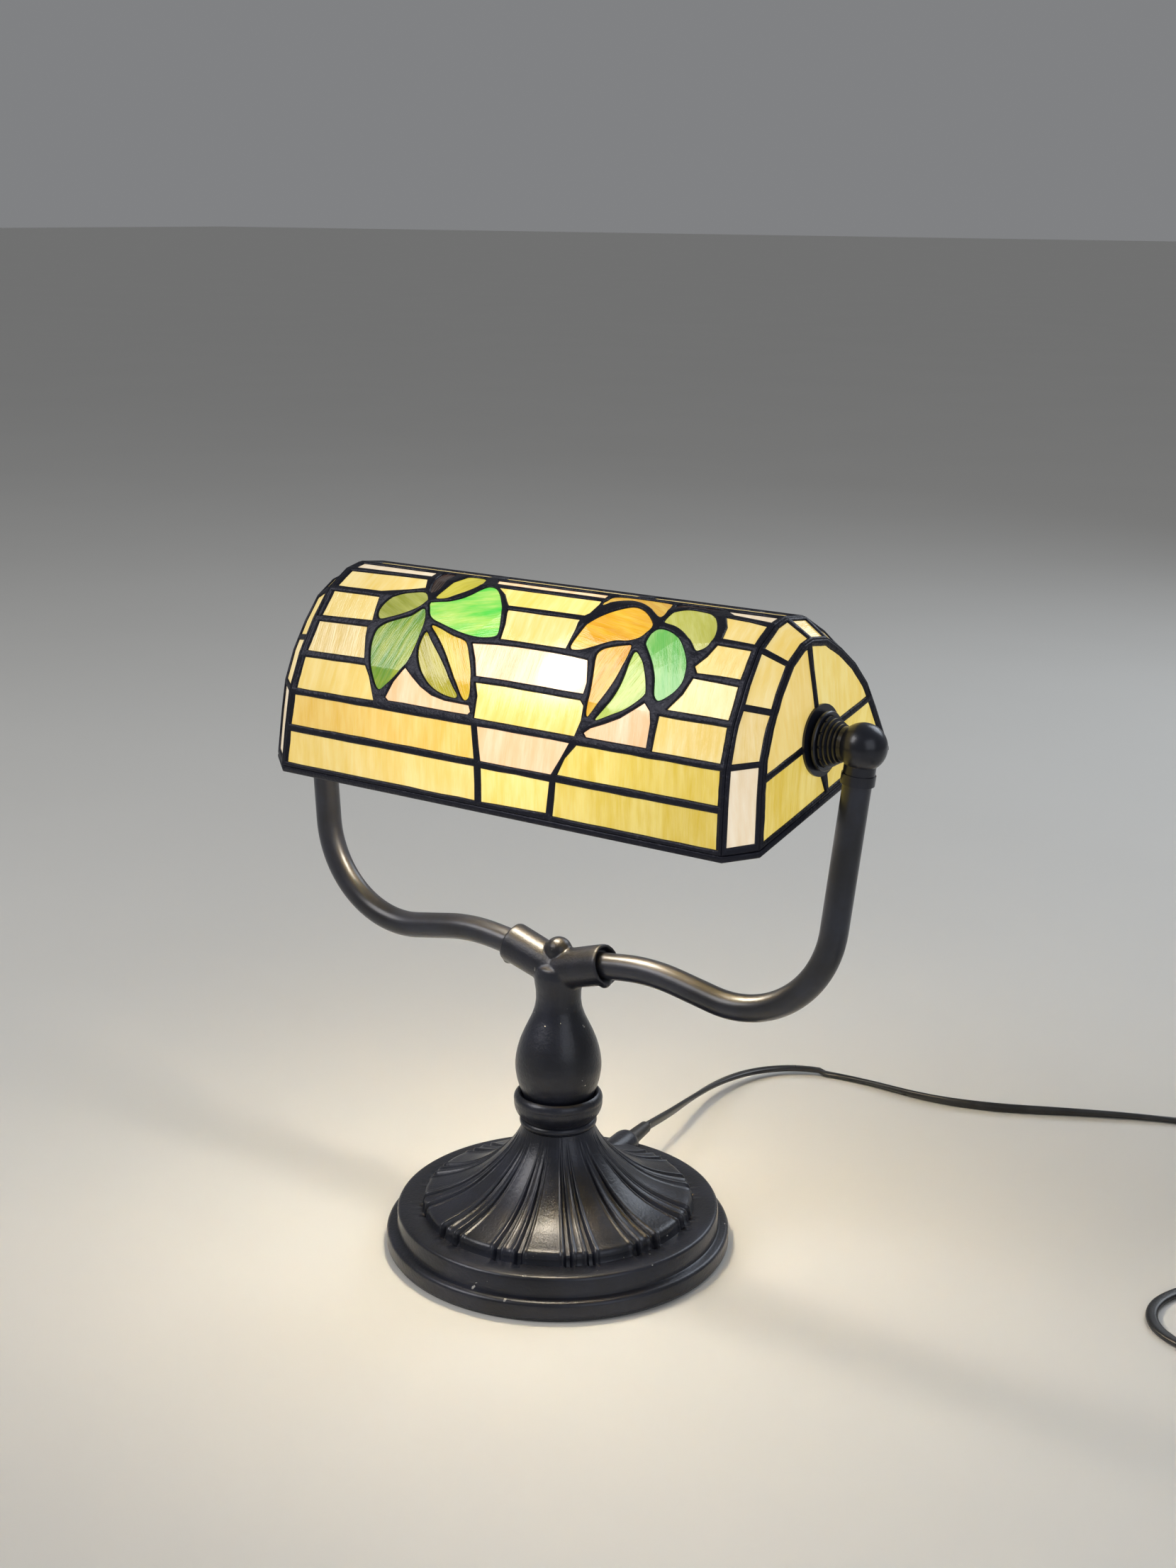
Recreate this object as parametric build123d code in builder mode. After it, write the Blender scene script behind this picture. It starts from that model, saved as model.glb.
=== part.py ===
from build123d import *

import os
from math import atan2, cos, degrees, pi, radians, sin, sqrt, tan

os.makedirs("parts", exist_ok=True)

# Stained-glass banker lamp. Millimetres, +Z up, origin on the table under the stem.
# The shade lies along X, its leaf side faces -Y, and the lead leaves the base at the back.

# ---- base ----
felt_radius = 78.5
felt_thickness = 1.5
cover_radius = 75.4
cover_thickness = 1.5
flange_radius = 80.0
flange_top = 9.4
rim_radius = 75.0
rim_top = 18.9
dome_radius = 62.6
dome_lip = 5.6
dome_curve = [(56.0, 25.9), (44.0, 29.6), (32.0, 37.6), (23.0, 46.2), (18.5, 53.5), (16.6, 58.6)]
flute_depth = 1.1
flute_pairs = 12
wide_petal = 19.0
narrow_petal = 8.0
web_height = 41.0
nut_height = 6.0
washer_thickness = 1.2

# ---- lead outlet at the back of the base ----
outlet_turn = 97.0
outlet_height = 19.8
outlet_radius = 7.0
outlet_reach = 72.5
bush_reach = 90.5

# ---- stem ----
ring_bottom = dome_curve[-1][1]
ring_top = 74.8
stem_seat = 72.0
stem_curve = [(17.0, 75.2), (19.1, 82.0), (19.8, 88.7), (18.9, 95.4), (16.1, 103.5), (11.4, 113.4),
              (10.3, 119.0), (10.8, 126.0), (11.6, 134.0)]
socket_slope = 17.0
socket_centre = 133.9
socket_radius = 9.2
socket_reach = 28.0
finial_radius = 6.3
finial_height = 143.2
rod_radius = 5.0
rod_bore = 3.4

# ---- yoke arms and pivots ----
yoke_height = 142.0
tube_radius = 6.0
tube_wall = 1.3
pivot_height = 259.5
pivot_back = 5.0
ball_reach = 147.0
ball_radius = 10.0
pipe_radius = 5.0
play = 0.06

# ---- shade ----
shade_tilt = 11.5
barrel_half = 115.7
end_half = 127.6
end_lean = 0.05
arch = [(64.4, -25.0), (58.7, -7.7), (52.8, 8.0), (43.1, 22.5), (31.1, 35.1), (18.4, 45.6), (4.5, 50.3)]
end_scale = 0.812
end_scale_height = 7.7
lead_width = 3.6
lattice_thickness = 3.6
glass_thickness = 2.8
glass_recess = 0.4
rim_depth = 3.0
rim_width = 5.0

# ---- lead ----
lead_radius = 2.7
coil_centre = (340.0, 38.0)
coil_radius = 30.0
coil_width = 24.0
coil_height = 12.0


def save(piece, name):
    """Give a finished piece its name and write it."""
    piece.part.label = name
    export_step(piece.part, f"parts/{name}.step")


def mirrored(piece):
    """The same piece for the other end of the lamp."""
    with BuildPart() as other:
        mirror(piece.part, about=Plane.YZ)
    return other


def revolve_outline(points):
    """Turn a closed outline of (radius, height) points round the stem axis."""
    with BuildSketch(Plane.XZ) as section:
        with BuildLine():
            Polyline(*points, close=True)
        make_face()
    revolve(section.sketch, axis=Axis.Z)


# =====================================================================
# Base: an iron casting over a ballast ring, closed by a plate and felt
# =====================================================================
cover_top = felt_thickness + cover_thickness

with BuildPart() as felt_pad:
    Cylinder(felt_radius, felt_thickness, align=(Align.CENTER, Align.CENTER, Align.MIN))
save(felt_pad, "felt_pad")

with BuildPart() as base_cover:
    with BuildSketch(Plane.XY.offset(felt_thickness)):
        Circle(cover_radius)
        Circle(6, mode=Mode.SUBTRACT)
        with PolarLocations(66, 3):
            Circle(1.8, mode=Mode.SUBTRACT)
    extrude(amount=cover_thickness)
save(base_cover, "base_cover")

with BuildPart() as cover_screws:
    with PolarLocations(66, 3):
        with Locations((0, 0, cover_top)):
            Cylinder(1.5, 8, align=(Align.CENTER, Align.CENTER, Align.MIN))
        with Locations((0, 0, felt_thickness)):
            Cylinder(1.7, cover_thickness, align=(Align.CENTER, Align.CENTER, Align.MIN))
save(cover_screws, "cover_screws")

lip_top = rim_top + dome_lip
outlet = Plane(origin=(0, 0, outlet_height), x_dir=(-sin(radians(outlet_turn)), cos(radians(outlet_turn)), 0),
               z_dir=(cos(radians(outlet_turn)), sin(radians(outlet_turn)), 0))


def dome_outline(sink):
    """Half section of the trumpet dome, sunk by the depth of the flutes or not at all."""
    lip = dome_radius - 2 * sink
    return [(lip, rim_top), (lip, lip_top - 2.4 - sink), (lip - 2.6, lip_top - sink)], [
        (r - sink * 0.4, z - sink * min(1.0, (r - 16.6) / 12)) for r, z in dome_curve]


def turn_dome(sink):
    """Solid of the trumpet dome."""
    edge, curve = dome_outline(sink)
    with BuildSketch(Plane.XZ) as section:
        with BuildLine():
            Polyline((0, rim_top), *edge)
            flare = Spline(edge[-1], *curve, tangents=[(-1, 0.12), (0, 1)])
            Polyline(flare @ 1, (0, curve[-1][1]), (0, rim_top))
        make_face()
    revolve(section.sketch, axis=Axis.Z)


with BuildPart() as petals:
    turn_dome(0)
    with BuildSketch(Plane.XY.offset(rim_top - 1)):
        for turn in range(flute_pairs):
            for middle, width in ((0.0, wide_petal), (15.0, narrow_petal)):
                half = width / 2
                reach = dome_radius + 1
                with BuildLine(Plane.XY.rotated((0, 0, 30 * turn + middle))):
                    Polyline((0, 0), (reach, -reach * tan(radians(half))),
                             (reach, reach * tan(radians(half))),
                             close=True)
                make_face()
    extrude(amount=60, mode=Mode.INTERSECT)

with BuildPart() as base_casting:
    revolve_outline([(0, felt_thickness), (flange_radius, felt_thickness), (flange_radius, flange_top - 1.6),
                     (flange_radius - 1.6, flange_top), (rim_radius + 0.4, flange_top),
                     (rim_radius, rim_top - 1.2), (rim_radius - 1.2, rim_top), (0, rim_top)])
    turn_dome(flute_depth)
    add(petals.part)
    with BuildSketch(outlet):
        Circle(outlet_radius)
    extrude(amount=outlet_reach)
    # hollow underside with a web that the stem rod is clamped to
    with BuildSketch(Plane.XZ):
        with BuildLine():
            Polyline((0, felt_thickness), (cover_radius + 0.3, felt_thickness),
                     (cover_radius + 0.3, cover_top),
                     (71, cover_top), (71, 14.4), (57, 14.4), (47, 20.5), (37, 26),
                     (27.5, 33), (19, web_height),
                     (0, web_height), close=True)
        make_face()
    revolve(axis=Axis.Z, mode=Mode.SUBTRACT)
    with BuildSketch(Plane.XY.offset(web_height - 1)):
        Circle(rod_radius + 0.3)
    extrude(amount=30, mode=Mode.SUBTRACT)
    with BuildSketch(outlet.offset(30)):
        Circle(4.0)
    extrude(amount=60, mode=Mode.SUBTRACT)
    # three posts for the cover screws
    with BuildSketch(Plane.XY.offset(cover_top)):
        with PolarLocations(66, 3):
            Circle(4)
    extrude(amount=14.4 - cover_top + 1)
    with BuildSketch(Plane.XY.offset(cover_top)):
        with PolarLocations(66, 3):
            Circle(1.5)
    extrude(amount=8, mode=Mode.SUBTRACT)
save(base_casting, "base_casting")

with BuildPart() as base_weight:
    with BuildSketch(Plane.XY.offset(cover_top)):
        Circle(58)
        Circle(22, mode=Mode.SUBTRACT)
    extrude(amount=10.5)
    chamfer(base_weight.edges().group_by(Axis.Z)[-1], 1)
save(base_weight, "base_weight")

with BuildPart() as rod_washer:
    with BuildSketch(Plane.XY.offset(web_height - washer_thickness)):
        Circle(11)
        Circle(rod_radius + 0.2, mode=Mode.SUBTRACT)
    extrude(amount=washer_thickness)
save(rod_washer, "rod_washer")

with BuildPart() as rod_nut:
    with BuildSketch(Plane.XY.offset(web_height - washer_thickness - nut_height)):
        RegularPolygon(8.5, 6, major_radius=False)
        Circle(rod_radius, mode=Mode.SUBTRACT)
    extrude(amount=nut_height)
save(rod_nut, "rod_nut")

with BuildPart() as stem_rod:
    with BuildSketch(Plane.XY.offset(web_height - 12)):
        Circle(rod_radius)
        Circle(rod_bore, mode=Mode.SUBTRACT)
    extrude(amount=stem_seat + 14 - web_height + 12)
save(stem_rod, "stem_rod")

with BuildPart() as outlet_bush:
    with BuildSketch(Plane.XZ):
        with BuildLine():
            Polyline((lead_radius, 56), (3.95, 56), (3.95, outlet_reach), (3.9, outlet_reach + 1),
                     (3.1, bush_reach), (lead_radius, bush_reach), close=True)
        make_face()
    revolve(axis=Axis.Z)
outlet_bush.part = outlet.location * outlet_bush.part
save(outlet_bush, "outlet_bush")

# =====================================================================
# Stem: a clamped bead ring, and a vase casting that ends in two sockets
# =====================================================================
with BuildPart() as neck_ring:
    with BuildSketch(Plane.XZ):
        with BuildLine():
            bottom = Line((rod_radius + 0.2, ring_bottom), (16.4, ring_bottom))
            bead = ThreePointArc(bottom @ 1, (17.9, ring_bottom + 1.9), (16.8, ring_bottom + 3.8))
            cup = ThreePointArc(bead @ 1, (20.0, 67.0), (20.4, 70.6))
            lip = ThreePointArc(cup @ 1, (19.9, 73.6), (18.6, ring_top))
            Polyline(lip @ 1, (17.6, ring_top - 0.5), (15.9, stem_seat), (rod_radius + 0.2, stem_seat),
                     (rod_radius + 0.2, ring_bottom))
        make_face()
    revolve(axis=Axis.Z)
save(neck_ring, "neck_ring")

lean = atan2(pivot_back, pivot_height - yoke_height)
yoke = Plane(origin=(0, 0, yoke_height), x_dir=(1, 0, 0), z_dir=(0, -cos(lean), sin(lean)))
top_rise = (pivot_height - yoke_height) / cos(lean)
elbow_corner = (133.9, -13.2)
tube_slope = atan2(top_rise - elbow_corner[1], ball_reach - elbow_corner[0])
tube_end = (ball_reach - 8.5 * cos(tube_slope), top_rise - 8.5 * sin(tube_slope))
arm_points = [(14.0, -2.3), (50.0, 2.2), elbow_corner, tube_end]
arm_bends = [90.0, 48.0]

with BuildPart() as arm_right:
    with BuildLine(yoke) as arm_path:
        FilletPolyline(*arm_points, radius=arm_bends)
    with BuildSketch(Plane(origin=arm_path.line @ 0, z_dir=arm_path.line % 0)):
        Circle(tube_radius)
        Circle(tube_radius - tube_wall, mode=Mode.SUBTRACT)
    sweep(path=arm_path.line)
arm_left = mirrored(arm_right)
save(arm_right, "arm_right")
save(arm_left, "arm_left")

with BuildPart() as arm_core:
    with BuildSketch(Plane(origin=arm_path.line @ 0, z_dir=arm_path.line % 0)):
        Circle(tube_radius)
    sweep(path=arm_path.line)
arm_core_left = mirrored(arm_core)


def socket_plane(side, reach=0.0):
    """Plane across a socket, on the stem axis or further out along the socket."""
    slope = radians(socket_slope)
    outward = Vector(side * cos(slope), 0, sin(slope))
    return Plane(origin=Vector(0, 0, socket_centre) + outward * reach, x_dir=(0, 1, 0), z_dir=outward)


with BuildPart() as stem_casting:
    with BuildSketch(Plane.XZ):
        with BuildLine():
            Polyline((0, stem_seat), (15.8, stem_seat), stem_curve[0])
            side_line = Spline(*stem_curve, tangents=[(0.5, 1), (0.1, 1)])
            Polyline(side_line @ 1, (0, stem_curve[-1][1] + 4), (0, stem_seat))
        make_face()
    revolve(axis=Axis.Z)
    for side in (-1, 1):
        with BuildSketch(socket_plane(side)):
            Circle(socket_radius)
        extrude(amount=socket_reach)
    with Locations((0, 0, finial_height)):
        Sphere(finial_radius)
    # recessed mouths, the seats of the tubes, and the way for the wires
    for side in (-1, 1):
        with BuildSketch(socket_plane(side, socket_reach - 3.5)):
            Circle(socket_radius - 1.6)
        extrude(amount=5, mode=Mode.SUBTRACT)
        with BuildSketch(socket_plane(side, -1)):
            Circle(rod_bore)
        extrude(amount=18, mode=Mode.SUBTRACT)
    add(arm_core.part, mode=Mode.SUBTRACT)
    add(arm_core_left.part, mode=Mode.SUBTRACT)
    with BuildSketch(Plane.XY.offset(stem_seat)):
        Circle(rod_radius)
    extrude(amount=16, mode=Mode.SUBTRACT)
    with BuildSketch(Plane.XY.offset(stem_seat)):
        Circle(rod_bore)
    extrude(amount=socket_centre - stem_seat, mode=Mode.SUBTRACT)
save(stem_casting, "stem_casting")

# =====================================================================
# Pivots: everything on the tilt axis, made for the right end and mirrored
# =====================================================================
axis_point = Vector(0, pivot_back, pivot_height)


def across_axis(reach):
    """Plane across the tilt axis, facing right."""
    return Plane(origin=axis_point + Vector(reach, 0, 0), x_dir=(0, 1, 0), z_dir=(1, 0, 0))


def disc_on_axis(radius, bore, start, end):
    """A washer-like disc on the tilt axis."""
    with BuildSketch(across_axis(start)) as section:
        Circle(radius)
        Circle(bore, mode=Mode.SUBTRACT)
    extrude(section.sketch, amount=end - start)


def turned_on_axis(points):
    """A turned piece on the tilt axis, from (distance along X, radius) points."""
    with BuildSketch(Plane(origin=axis_point, x_dir=(1, 0, 0), z_dir=(0, -1, 0))) as section:
        with BuildLine():
            Polyline(*points, close=True)
        make_face()
    revolve(section.sketch, axis=Axis(axis_point, (1, 0, 0)))


ball = axis_point + Vector(ball_reach, 0, 0)
tube_in = (ball - yoke.from_local_coords(Vector(*tube_end, 0))).normalized()
nut_start = 131.7
nut_end = 138.3

with BuildPart() as elbow_right:
    with Locations(ball):
        Sphere(ball_radius)
    with BuildSketch(Plane(origin=ball, z_dir=-tube_in)):
        Circle(6.6)
    extrude(amount=11.2)
    with BuildSketch(Plane(origin=ball - tube_in * 11.2, z_dir=-tube_in)):
        Circle(7.1)
    extrude(amount=4.2)
    with BuildSketch(Plane(origin=ball, z_dir=(-1, 0, 0))):
        Circle(7.4)
    extrude(amount=ball_reach - nut_end - 0.2)
    with BuildSketch(Plane(origin=ball - tube_in * 8.5, z_dir=-tube_in)):
        Circle(tube_radius)
    extrude(amount=9, mode=Mode.SUBTRACT)
    with BuildSketch(Plane(origin=ball, z_dir=-tube_in)):
        Circle(3.0)
    extrude(amount=9, mode=Mode.SUBTRACT)
    with BuildSketch(Plane(origin=ball - Vector(3, 0, 0), z_dir=(-1, 0, 0))):
        Circle(pipe_radius)
    extrude(amount=9, mode=Mode.SUBTRACT)
    with BuildSketch(Plane(origin=ball, z_dir=(-1, 0, 0))):
        Circle(3.0)
    extrude(amount=9, mode=Mode.SUBTRACT)
elbow_left = mirrored(elbow_right)
save(elbow_right, "elbow_right")
save(elbow_left, "elbow_left")

with BuildPart() as pivot_pipe_right:
    disc_on_axis(pipe_radius, 3.2, 108.0, ball_reach - 3)
pivot_pipe_left = mirrored(pivot_pipe_right)
save(pivot_pipe_right, "pivot_pipe_right")
save(pivot_pipe_left, "pivot_pipe_left")

# ridged hand nut: four rings that grow towards the shade, with grip slots in the largest
ridge = (nut_end - nut_start) / 4
ridge_outline = [(nut_start, pipe_radius + play)]
for step, radius in enumerate((10.9, 9.9, 8.9, 8.0)):
    near = nut_start + ridge * step
    ridge_outline += [(near, radius - 0.9), (near + 0.3, radius), (near + ridge - 0.5, radius),
                      (near + ridge, radius - 1.2)]
ridge_outline += [(nut_end, pipe_radius + play)]

with BuildPart() as clamp_nut_right:
    turned_on_axis(ridge_outline)
    with BuildSketch(across_axis(nut_start)):
        with PolarLocations(10.9, 12):
            Circle(0.5)
    extrude(amount=ridge - 0.2, mode=Mode.SUBTRACT)
clamp_nut_left = mirrored(clamp_nut_right)
save(clamp_nut_right, "clamp_nut_right")
save(clamp_nut_left, "clamp_nut_left")

with BuildPart() as outer_washer_right:
    disc_on_axis(12.5, pipe_radius + 0.1, 129.8, 131.5)
    chamfer(outer_washer_right.edges().filter_by(GeomType.CIRCLE).group_by(SortBy.RADIUS)[-1], 0.4)
outer_washer_left = mirrored(outer_washer_right)
save(outer_washer_right, "outer_washer_right")
save(outer_washer_left, "outer_washer_left")

with BuildPart() as inner_washers:
    disc_on_axis(9.0, pipe_radius + 0.1, 120.6, 122.0)
    mirror(inner_washers.part, about=Plane.YZ)
save(inner_washers, "inner_washers")

with BuildPart() as inner_nuts:
    with BuildSketch(across_axis(114.6)):
        RegularPolygon(8, 6, major_radius=False)
        Circle(pipe_radius, mode=Mode.SUBTRACT)
    extrude(amount=6.0)
    mirror(inner_nuts.part, about=Plane.YZ)
save(inner_nuts, "inner_nuts")

# =====================================================================
# Shade: flat glass facets in a soldered lattice, on its own tilted frame
# =====================================================================
tilt = radians(shade_tilt)
shade_frame = Plane(origin=axis_point, x_dir=(1, 0, 0), z_dir=(0, -sin(tilt), cos(tilt)))

outline = arch + [(-u, v) for u, v in reversed(arch)]
end_arch = [(u * end_scale, end_scale_height + (v - end_scale_height) * end_scale) for u, v in arch[1:]]
foot_run = (arch[0][0] - arch[1][0]) / (arch[1][1] - arch[0][1])
end_foot = (end_arch[0][0] + (end_arch[0][1] - arch[0][1]) * foot_run, arch[0][1])
end_outline = [end_foot] + end_arch
end_outline += [(-u, v) for u, v in reversed(end_outline)]


def in_shade(x, u, v):
    """A point of the shade's frame (along, across, up) in the lamp's frame."""
    return shade_frame.from_local_coords(Vector(x, u, v))


def barrel_point(side, corner):
    """Corner of the barrel at one end. The ends lean in towards the crown."""
    u, v = outline[corner]
    return in_shade(side * (barrel_half - end_lean * v), u, v)


def end_point(side, corner):
    """Corner of the end panel at one end."""
    u, v = end_outline[corner]
    return in_shade(side * (end_half - end_lean * v), u, v)


def facet(corners):
    """Plane on the outside of a facet, and the facet's outline in it."""
    first, second, third = (corners[step * len(corners) // 4] for step in (0, 1, 2))
    plane = Plane(origin=first, x_dir=second - first, z_dir=(second - first).cross(third - first))
    flat = [plane.to_local_coords(corner) for corner in corners]
    return plane, [(point.X, point.Y) for point in flat]


def barrel_facet(corner):
    """Facet of the barrel above one corner, counted from the back foot over the crown."""
    return facet([barrel_point(-1, corner), barrel_point(-1, corner + 1), barrel_point(1, corner + 1),
                  barrel_point(1, corner)])


def bevel_facet(side, corner):
    """Bevelled facet between the barrel and an end panel."""
    corners = [barrel_point(side, corner), barrel_point(side, corner + 1), end_point(side, corner + 1),
               end_point(side, corner)]
    return facet(corners if side > 0 else [corners[1], corners[0], corners[3], corners[2]])


def end_facet(side):
    """The whole end panel."""
    corners = [end_point(side, corner) for corner in range(len(end_outline))]
    return facet(corners if side > 0 else corners[::-1])


def slab(plane, flat, thickness):
    """A facet at its full size."""
    with BuildSketch(plane) as section:
        with BuildLine():
            Polyline(*flat, close=True)
        make_face()
    extrude(section.sketch, amount=-thickness)


def pane(plane, flat, start, thickness, mode=Mode.ADD):
    """The glass of a facet, inside its solder lines."""
    with BuildSketch(plane.offset(start)) as section:
        with BuildLine():
            Polyline(*flat, close=True)
        make_face()
        offset(amount=-lead_width / 2, kind=Kind.INTERSECTION)
    extrude(section.sketch, amount=-thickness, mode=mode)


def end_panes(side, start, thickness, mode=Mode.ADD):
    """The four lights of an end panel: its glass less a cross of solder and the plate's seat."""
    plane, flat = end_facet(side)
    centre = plane.to_local_coords(in_shade(side * end_half, 0, 0))
    with BuildSketch(plane.offset(start)) as section:
        with BuildLine():
            Polyline(*flat, close=True)
        make_face()
        offset(amount=-lead_width / 2, kind=Kind.INTERSECTION)
        across = plane.to_local_coords(in_shade(side * end_half, 10, 0)) - centre
        with Locations(Location((centre.X, centre.Y, 0), (0, 0, degrees(atan2(across.Y, across.X))))):
            Rectangle(200, 2.8, mode=Mode.SUBTRACT)
            Rectangle(2.8, 200, mode=Mode.SUBTRACT)
            Circle(9, mode=Mode.SUBTRACT)
    extrude(section.sketch, amount=-thickness, mode=mode)


corner_count = len(outline) - 1
crown = len(arch) - 1

with BuildPart() as shade_rim:
    foot_loop = [(side * (half - end_lean * arch[0][1]), u)
                 for side, half, u in ((1, end_half, end_foot[0]), (1, barrel_half, arch[0][0]),
                                       (-1, barrel_half, arch[0][0]), (-1, end_half, end_foot[0]),
                                       (-1, end_half, -end_foot[0]), (-1, barrel_half, -arch[0][0]),
                                       (1, barrel_half, -arch[0][0]), (1, end_half, -end_foot[0]))]
    with BuildSketch(shade_frame.offset(arch[0][1] - rim_depth)):
        with BuildLine():
            Polyline(*foot_loop, close=True)
        make_face()
        offset(amount=-rim_width, kind=Kind.INTERSECTION, mode=Mode.SUBTRACT)
    extrude(amount=rim_depth)
save(shade_rim, "shade_rim")

with BuildPart() as solder_lattice:
    for corner in range(corner_count):
        slab(*barrel_facet(corner), lattice_thickness)
        for side in (-1, 1):
            slab(*bevel_facet(side, corner), lattice_thickness)
    for side in (-1, 1):
        slab(*end_facet(side), lattice_thickness)
    for corner in range(corner_count):
        pane(*barrel_facet(corner), 0.5, 7, Mode.SUBTRACT)
        for side in (-1, 1):
            pane(*bevel_facet(side, corner), 0.5, 7, Mode.SUBTRACT)
    for side in (-1, 1):
        end_panes(side, 0.5, 7, Mode.SUBTRACT)
        with BuildSketch(across_axis(side * (end_half - 8))):
            Circle(pipe_radius + 0.4)
        extrude(amount=side * 16, mode=Mode.SUBTRACT)
    add(shade_rim.part, mode=Mode.SUBTRACT)
save(solder_lattice, "solder_lattice")

with BuildPart() as glass_back:
    for corner in range(crown):
        pane(*barrel_facet(corner), -glass_recess, glass_thickness)
save(glass_back, "glass_back")

with BuildPart() as glass_crown:
    pane(*barrel_facet(crown), -glass_recess, glass_thickness)
save(glass_crown, "glass_crown")

with BuildPart() as glass_front:
    for corner in range(crown + 1, corner_count):
        pane(*barrel_facet(corner), -glass_recess, glass_thickness)
save(glass_front, "glass_front")

with BuildPart() as glass_bevel_right:
    for corner in range(corner_count):
        pane(*bevel_facet(1, corner), -glass_recess, glass_thickness)
glass_bevel_left = mirrored(glass_bevel_right)
save(glass_bevel_right, "glass_bevel_right")
save(glass_bevel_left, "glass_bevel_left")

with BuildPart() as glass_end_right:
    end_panes(1, -glass_recess, glass_thickness)
glass_end_left = mirrored(glass_end_right)
save(glass_end_right, "glass_end_right")
save(glass_end_left, "glass_end_left")

def end_disc(side, radius, start, thickness):
    """A disc soldered flat on an end panel, round the tilt axis."""
    plane, _ = end_facet(side)
    centre = plane.to_local_coords(in_shade(side * end_half, 0, 0))
    with BuildSketch(plane.offset(start)) as section:
        with Locations((centre.X, centre.Y)):
            Circle(radius)
            Circle(pipe_radius + 0.5, mode=Mode.SUBTRACT)
    extrude(section.sketch, amount=thickness)


with BuildPart() as pivot_plate_right:
    end_disc(1, 15.0, 0.0, 1.0)
pivot_plate_left = mirrored(pivot_plate_right)
save(pivot_plate_right, "pivot_plate_right")
save(pivot_plate_left, "pivot_plate_left")

with BuildPart() as inner_plates:
    for side in (-1, 1):
        end_disc(side, 13.0, -lattice_thickness - 1.0, 1.0)
save(inner_plates, "inner_plates")

# =====================================================================
# Lampholder and bulb, screwed on the left pipe inside the shade
# =====================================================================
cap_back = -114.2
holder_joint = -103.0
holder_mouth = -63.0
globe_centre = -18.0
globe_radius = 22.5
bulb_neck = -66.0

with BuildPart() as holder_cap:
    turned_on_axis([(cap_back, pipe_radius), (cap_back, 8.5), (cap_back + 4, 9.5), (cap_back + 8, 17.0),
                    (holder_joint, 19.0), (holder_joint, 15.5), (holder_joint - 4, 14.0),
                    (-107.8, 12.0), (-107.8, pipe_radius)])
save(holder_cap, "holder_cap")

with BuildPart() as holder_shell:
    turned_on_axis([(holder_joint, 15.6), (holder_joint, 19.4), (holder_mouth - 6, 18.6),
                    (holder_mouth, 17.6),
                    (holder_mouth, 14.8), (-91.0, 14.8), (-91.0, 15.6)])
save(holder_shell, "holder_shell")

with BuildPart() as holder_insulator:
    disc_on_axis(15.4, 2.6, -102.6, -94.0)
save(holder_insulator, "holder_insulator")

with BuildPart() as holder_contacts:
    disc_on_axis(2.4, 0.8, -102.0, -91.6)
    with BuildSketch(across_axis(-93.9)):
        with Locations((9.5, 0), (-9.5, 0)):
            Rectangle(3, 5)
    extrude(amount=1.9)
save(holder_contacts, "holder_contacts")

with BuildPart() as holder_thread:
    disc_on_axis(14.6, 13.7, -91.0, -66.0)
save(holder_thread, "holder_thread")

with BuildPart() as bulb_cap:
    turned_on_axis([(-91.4, 0), (-91.4, 4.0), (-89.5, 9.5), (-88.0, 13.4), (-64.0, 13.4), (-64.0, 12.4),
                    (-87.0, 12.4), (-88.5, 0)])
save(bulb_cap, "bulb_cap")


def turn_bulb(wall, mode=Mode.ADD):
    """Solid of the bulb's outline, drawn in by the thickness of its wall."""
    globe = globe_radius - wall
    hip = sqrt(globe ** 2 - 15.0 ** 2)
    with BuildSketch(Plane(origin=axis_point, x_dir=(1, 0, 0), z_dir=(0, -1, 0))) as section:
        with BuildLine():
            Polyline((globe_centre + globe, 0), (bulb_neck, 0), (bulb_neck, 12.3 - wall),
                     (-56.0, 12.6 - wall))
            ThreePointArc((-56.0, 12.6 - wall), (-44.0, 13.4 - wall), (globe_centre - 15.0, hip))
            ThreePointArc((globe_centre - 15.0, hip), (globe_centre, globe), (globe_centre + globe, 0))
        make_face()
    revolve(section.sketch, axis=Axis(axis_point, (1, 0, 0)), mode=mode)


with BuildPart() as bulb_glass:
    turn_bulb(0.0)
    turn_bulb(1.0, Mode.SUBTRACT)
save(bulb_glass, "bulb_glass")

with BuildPart() as bulb_stem:
    turned_on_axis([(-66.0, 0), (-66.0, 10.5), (-62.0, 10.5), (-58.0, 4.0), (-34.0, 2.4), (-33.0, 0)])
save(bulb_stem, "bulb_stem")

with BuildPart() as bulb_filaments:
    for turn in range(4):
        angle = radians(45 + 90 * turn)
        with BuildSketch(across_axis(-33.0)):
            with Locations((6 * cos(angle), 6 * sin(angle))):
                Circle(0.9)
        extrude(amount=30)
save(bulb_filaments, "bulb_filaments")

# =====================================================================
# Lead: a flat twin flex, its coil, the switch on it and the plug
# =====================================================================
bush_end = outlet.from_local_coords(Vector(0, 0, bush_reach))
floor_height = lead_radius + 0.05
lead_points = [
    bush_end, (-14.2, 116.0, 16.5), (-21.5, 150.0, 11.5), (-26.0, 186.0, 7.4), (-21.5, 216.5, 4.6),
    (-3.0, 239.0, 3.2), (30.0, 244.5, floor_height), (70.0, 241.5, floor_height),
    (105.0, 251.0, floor_height),
    (140.0, 270.0, floor_height), (178.0, 291.5, floor_height), (218.0, 306.0, floor_height),
    (257.0, 303.0, floor_height), (284.0, 280.0, floor_height), (293.0, 246.0, floor_height),
    (291.0, 186.0, floor_height), (281.0, 156.0, floor_height), (262.0, 129.0, floor_height),
    (250.5, 103.0, floor_height), (259.0, 80.5, floor_height), (284.0, 71.0, floor_height),
    (311.0, 73.2, floor_height), (336.6, 76.9, floor_height)]
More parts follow.
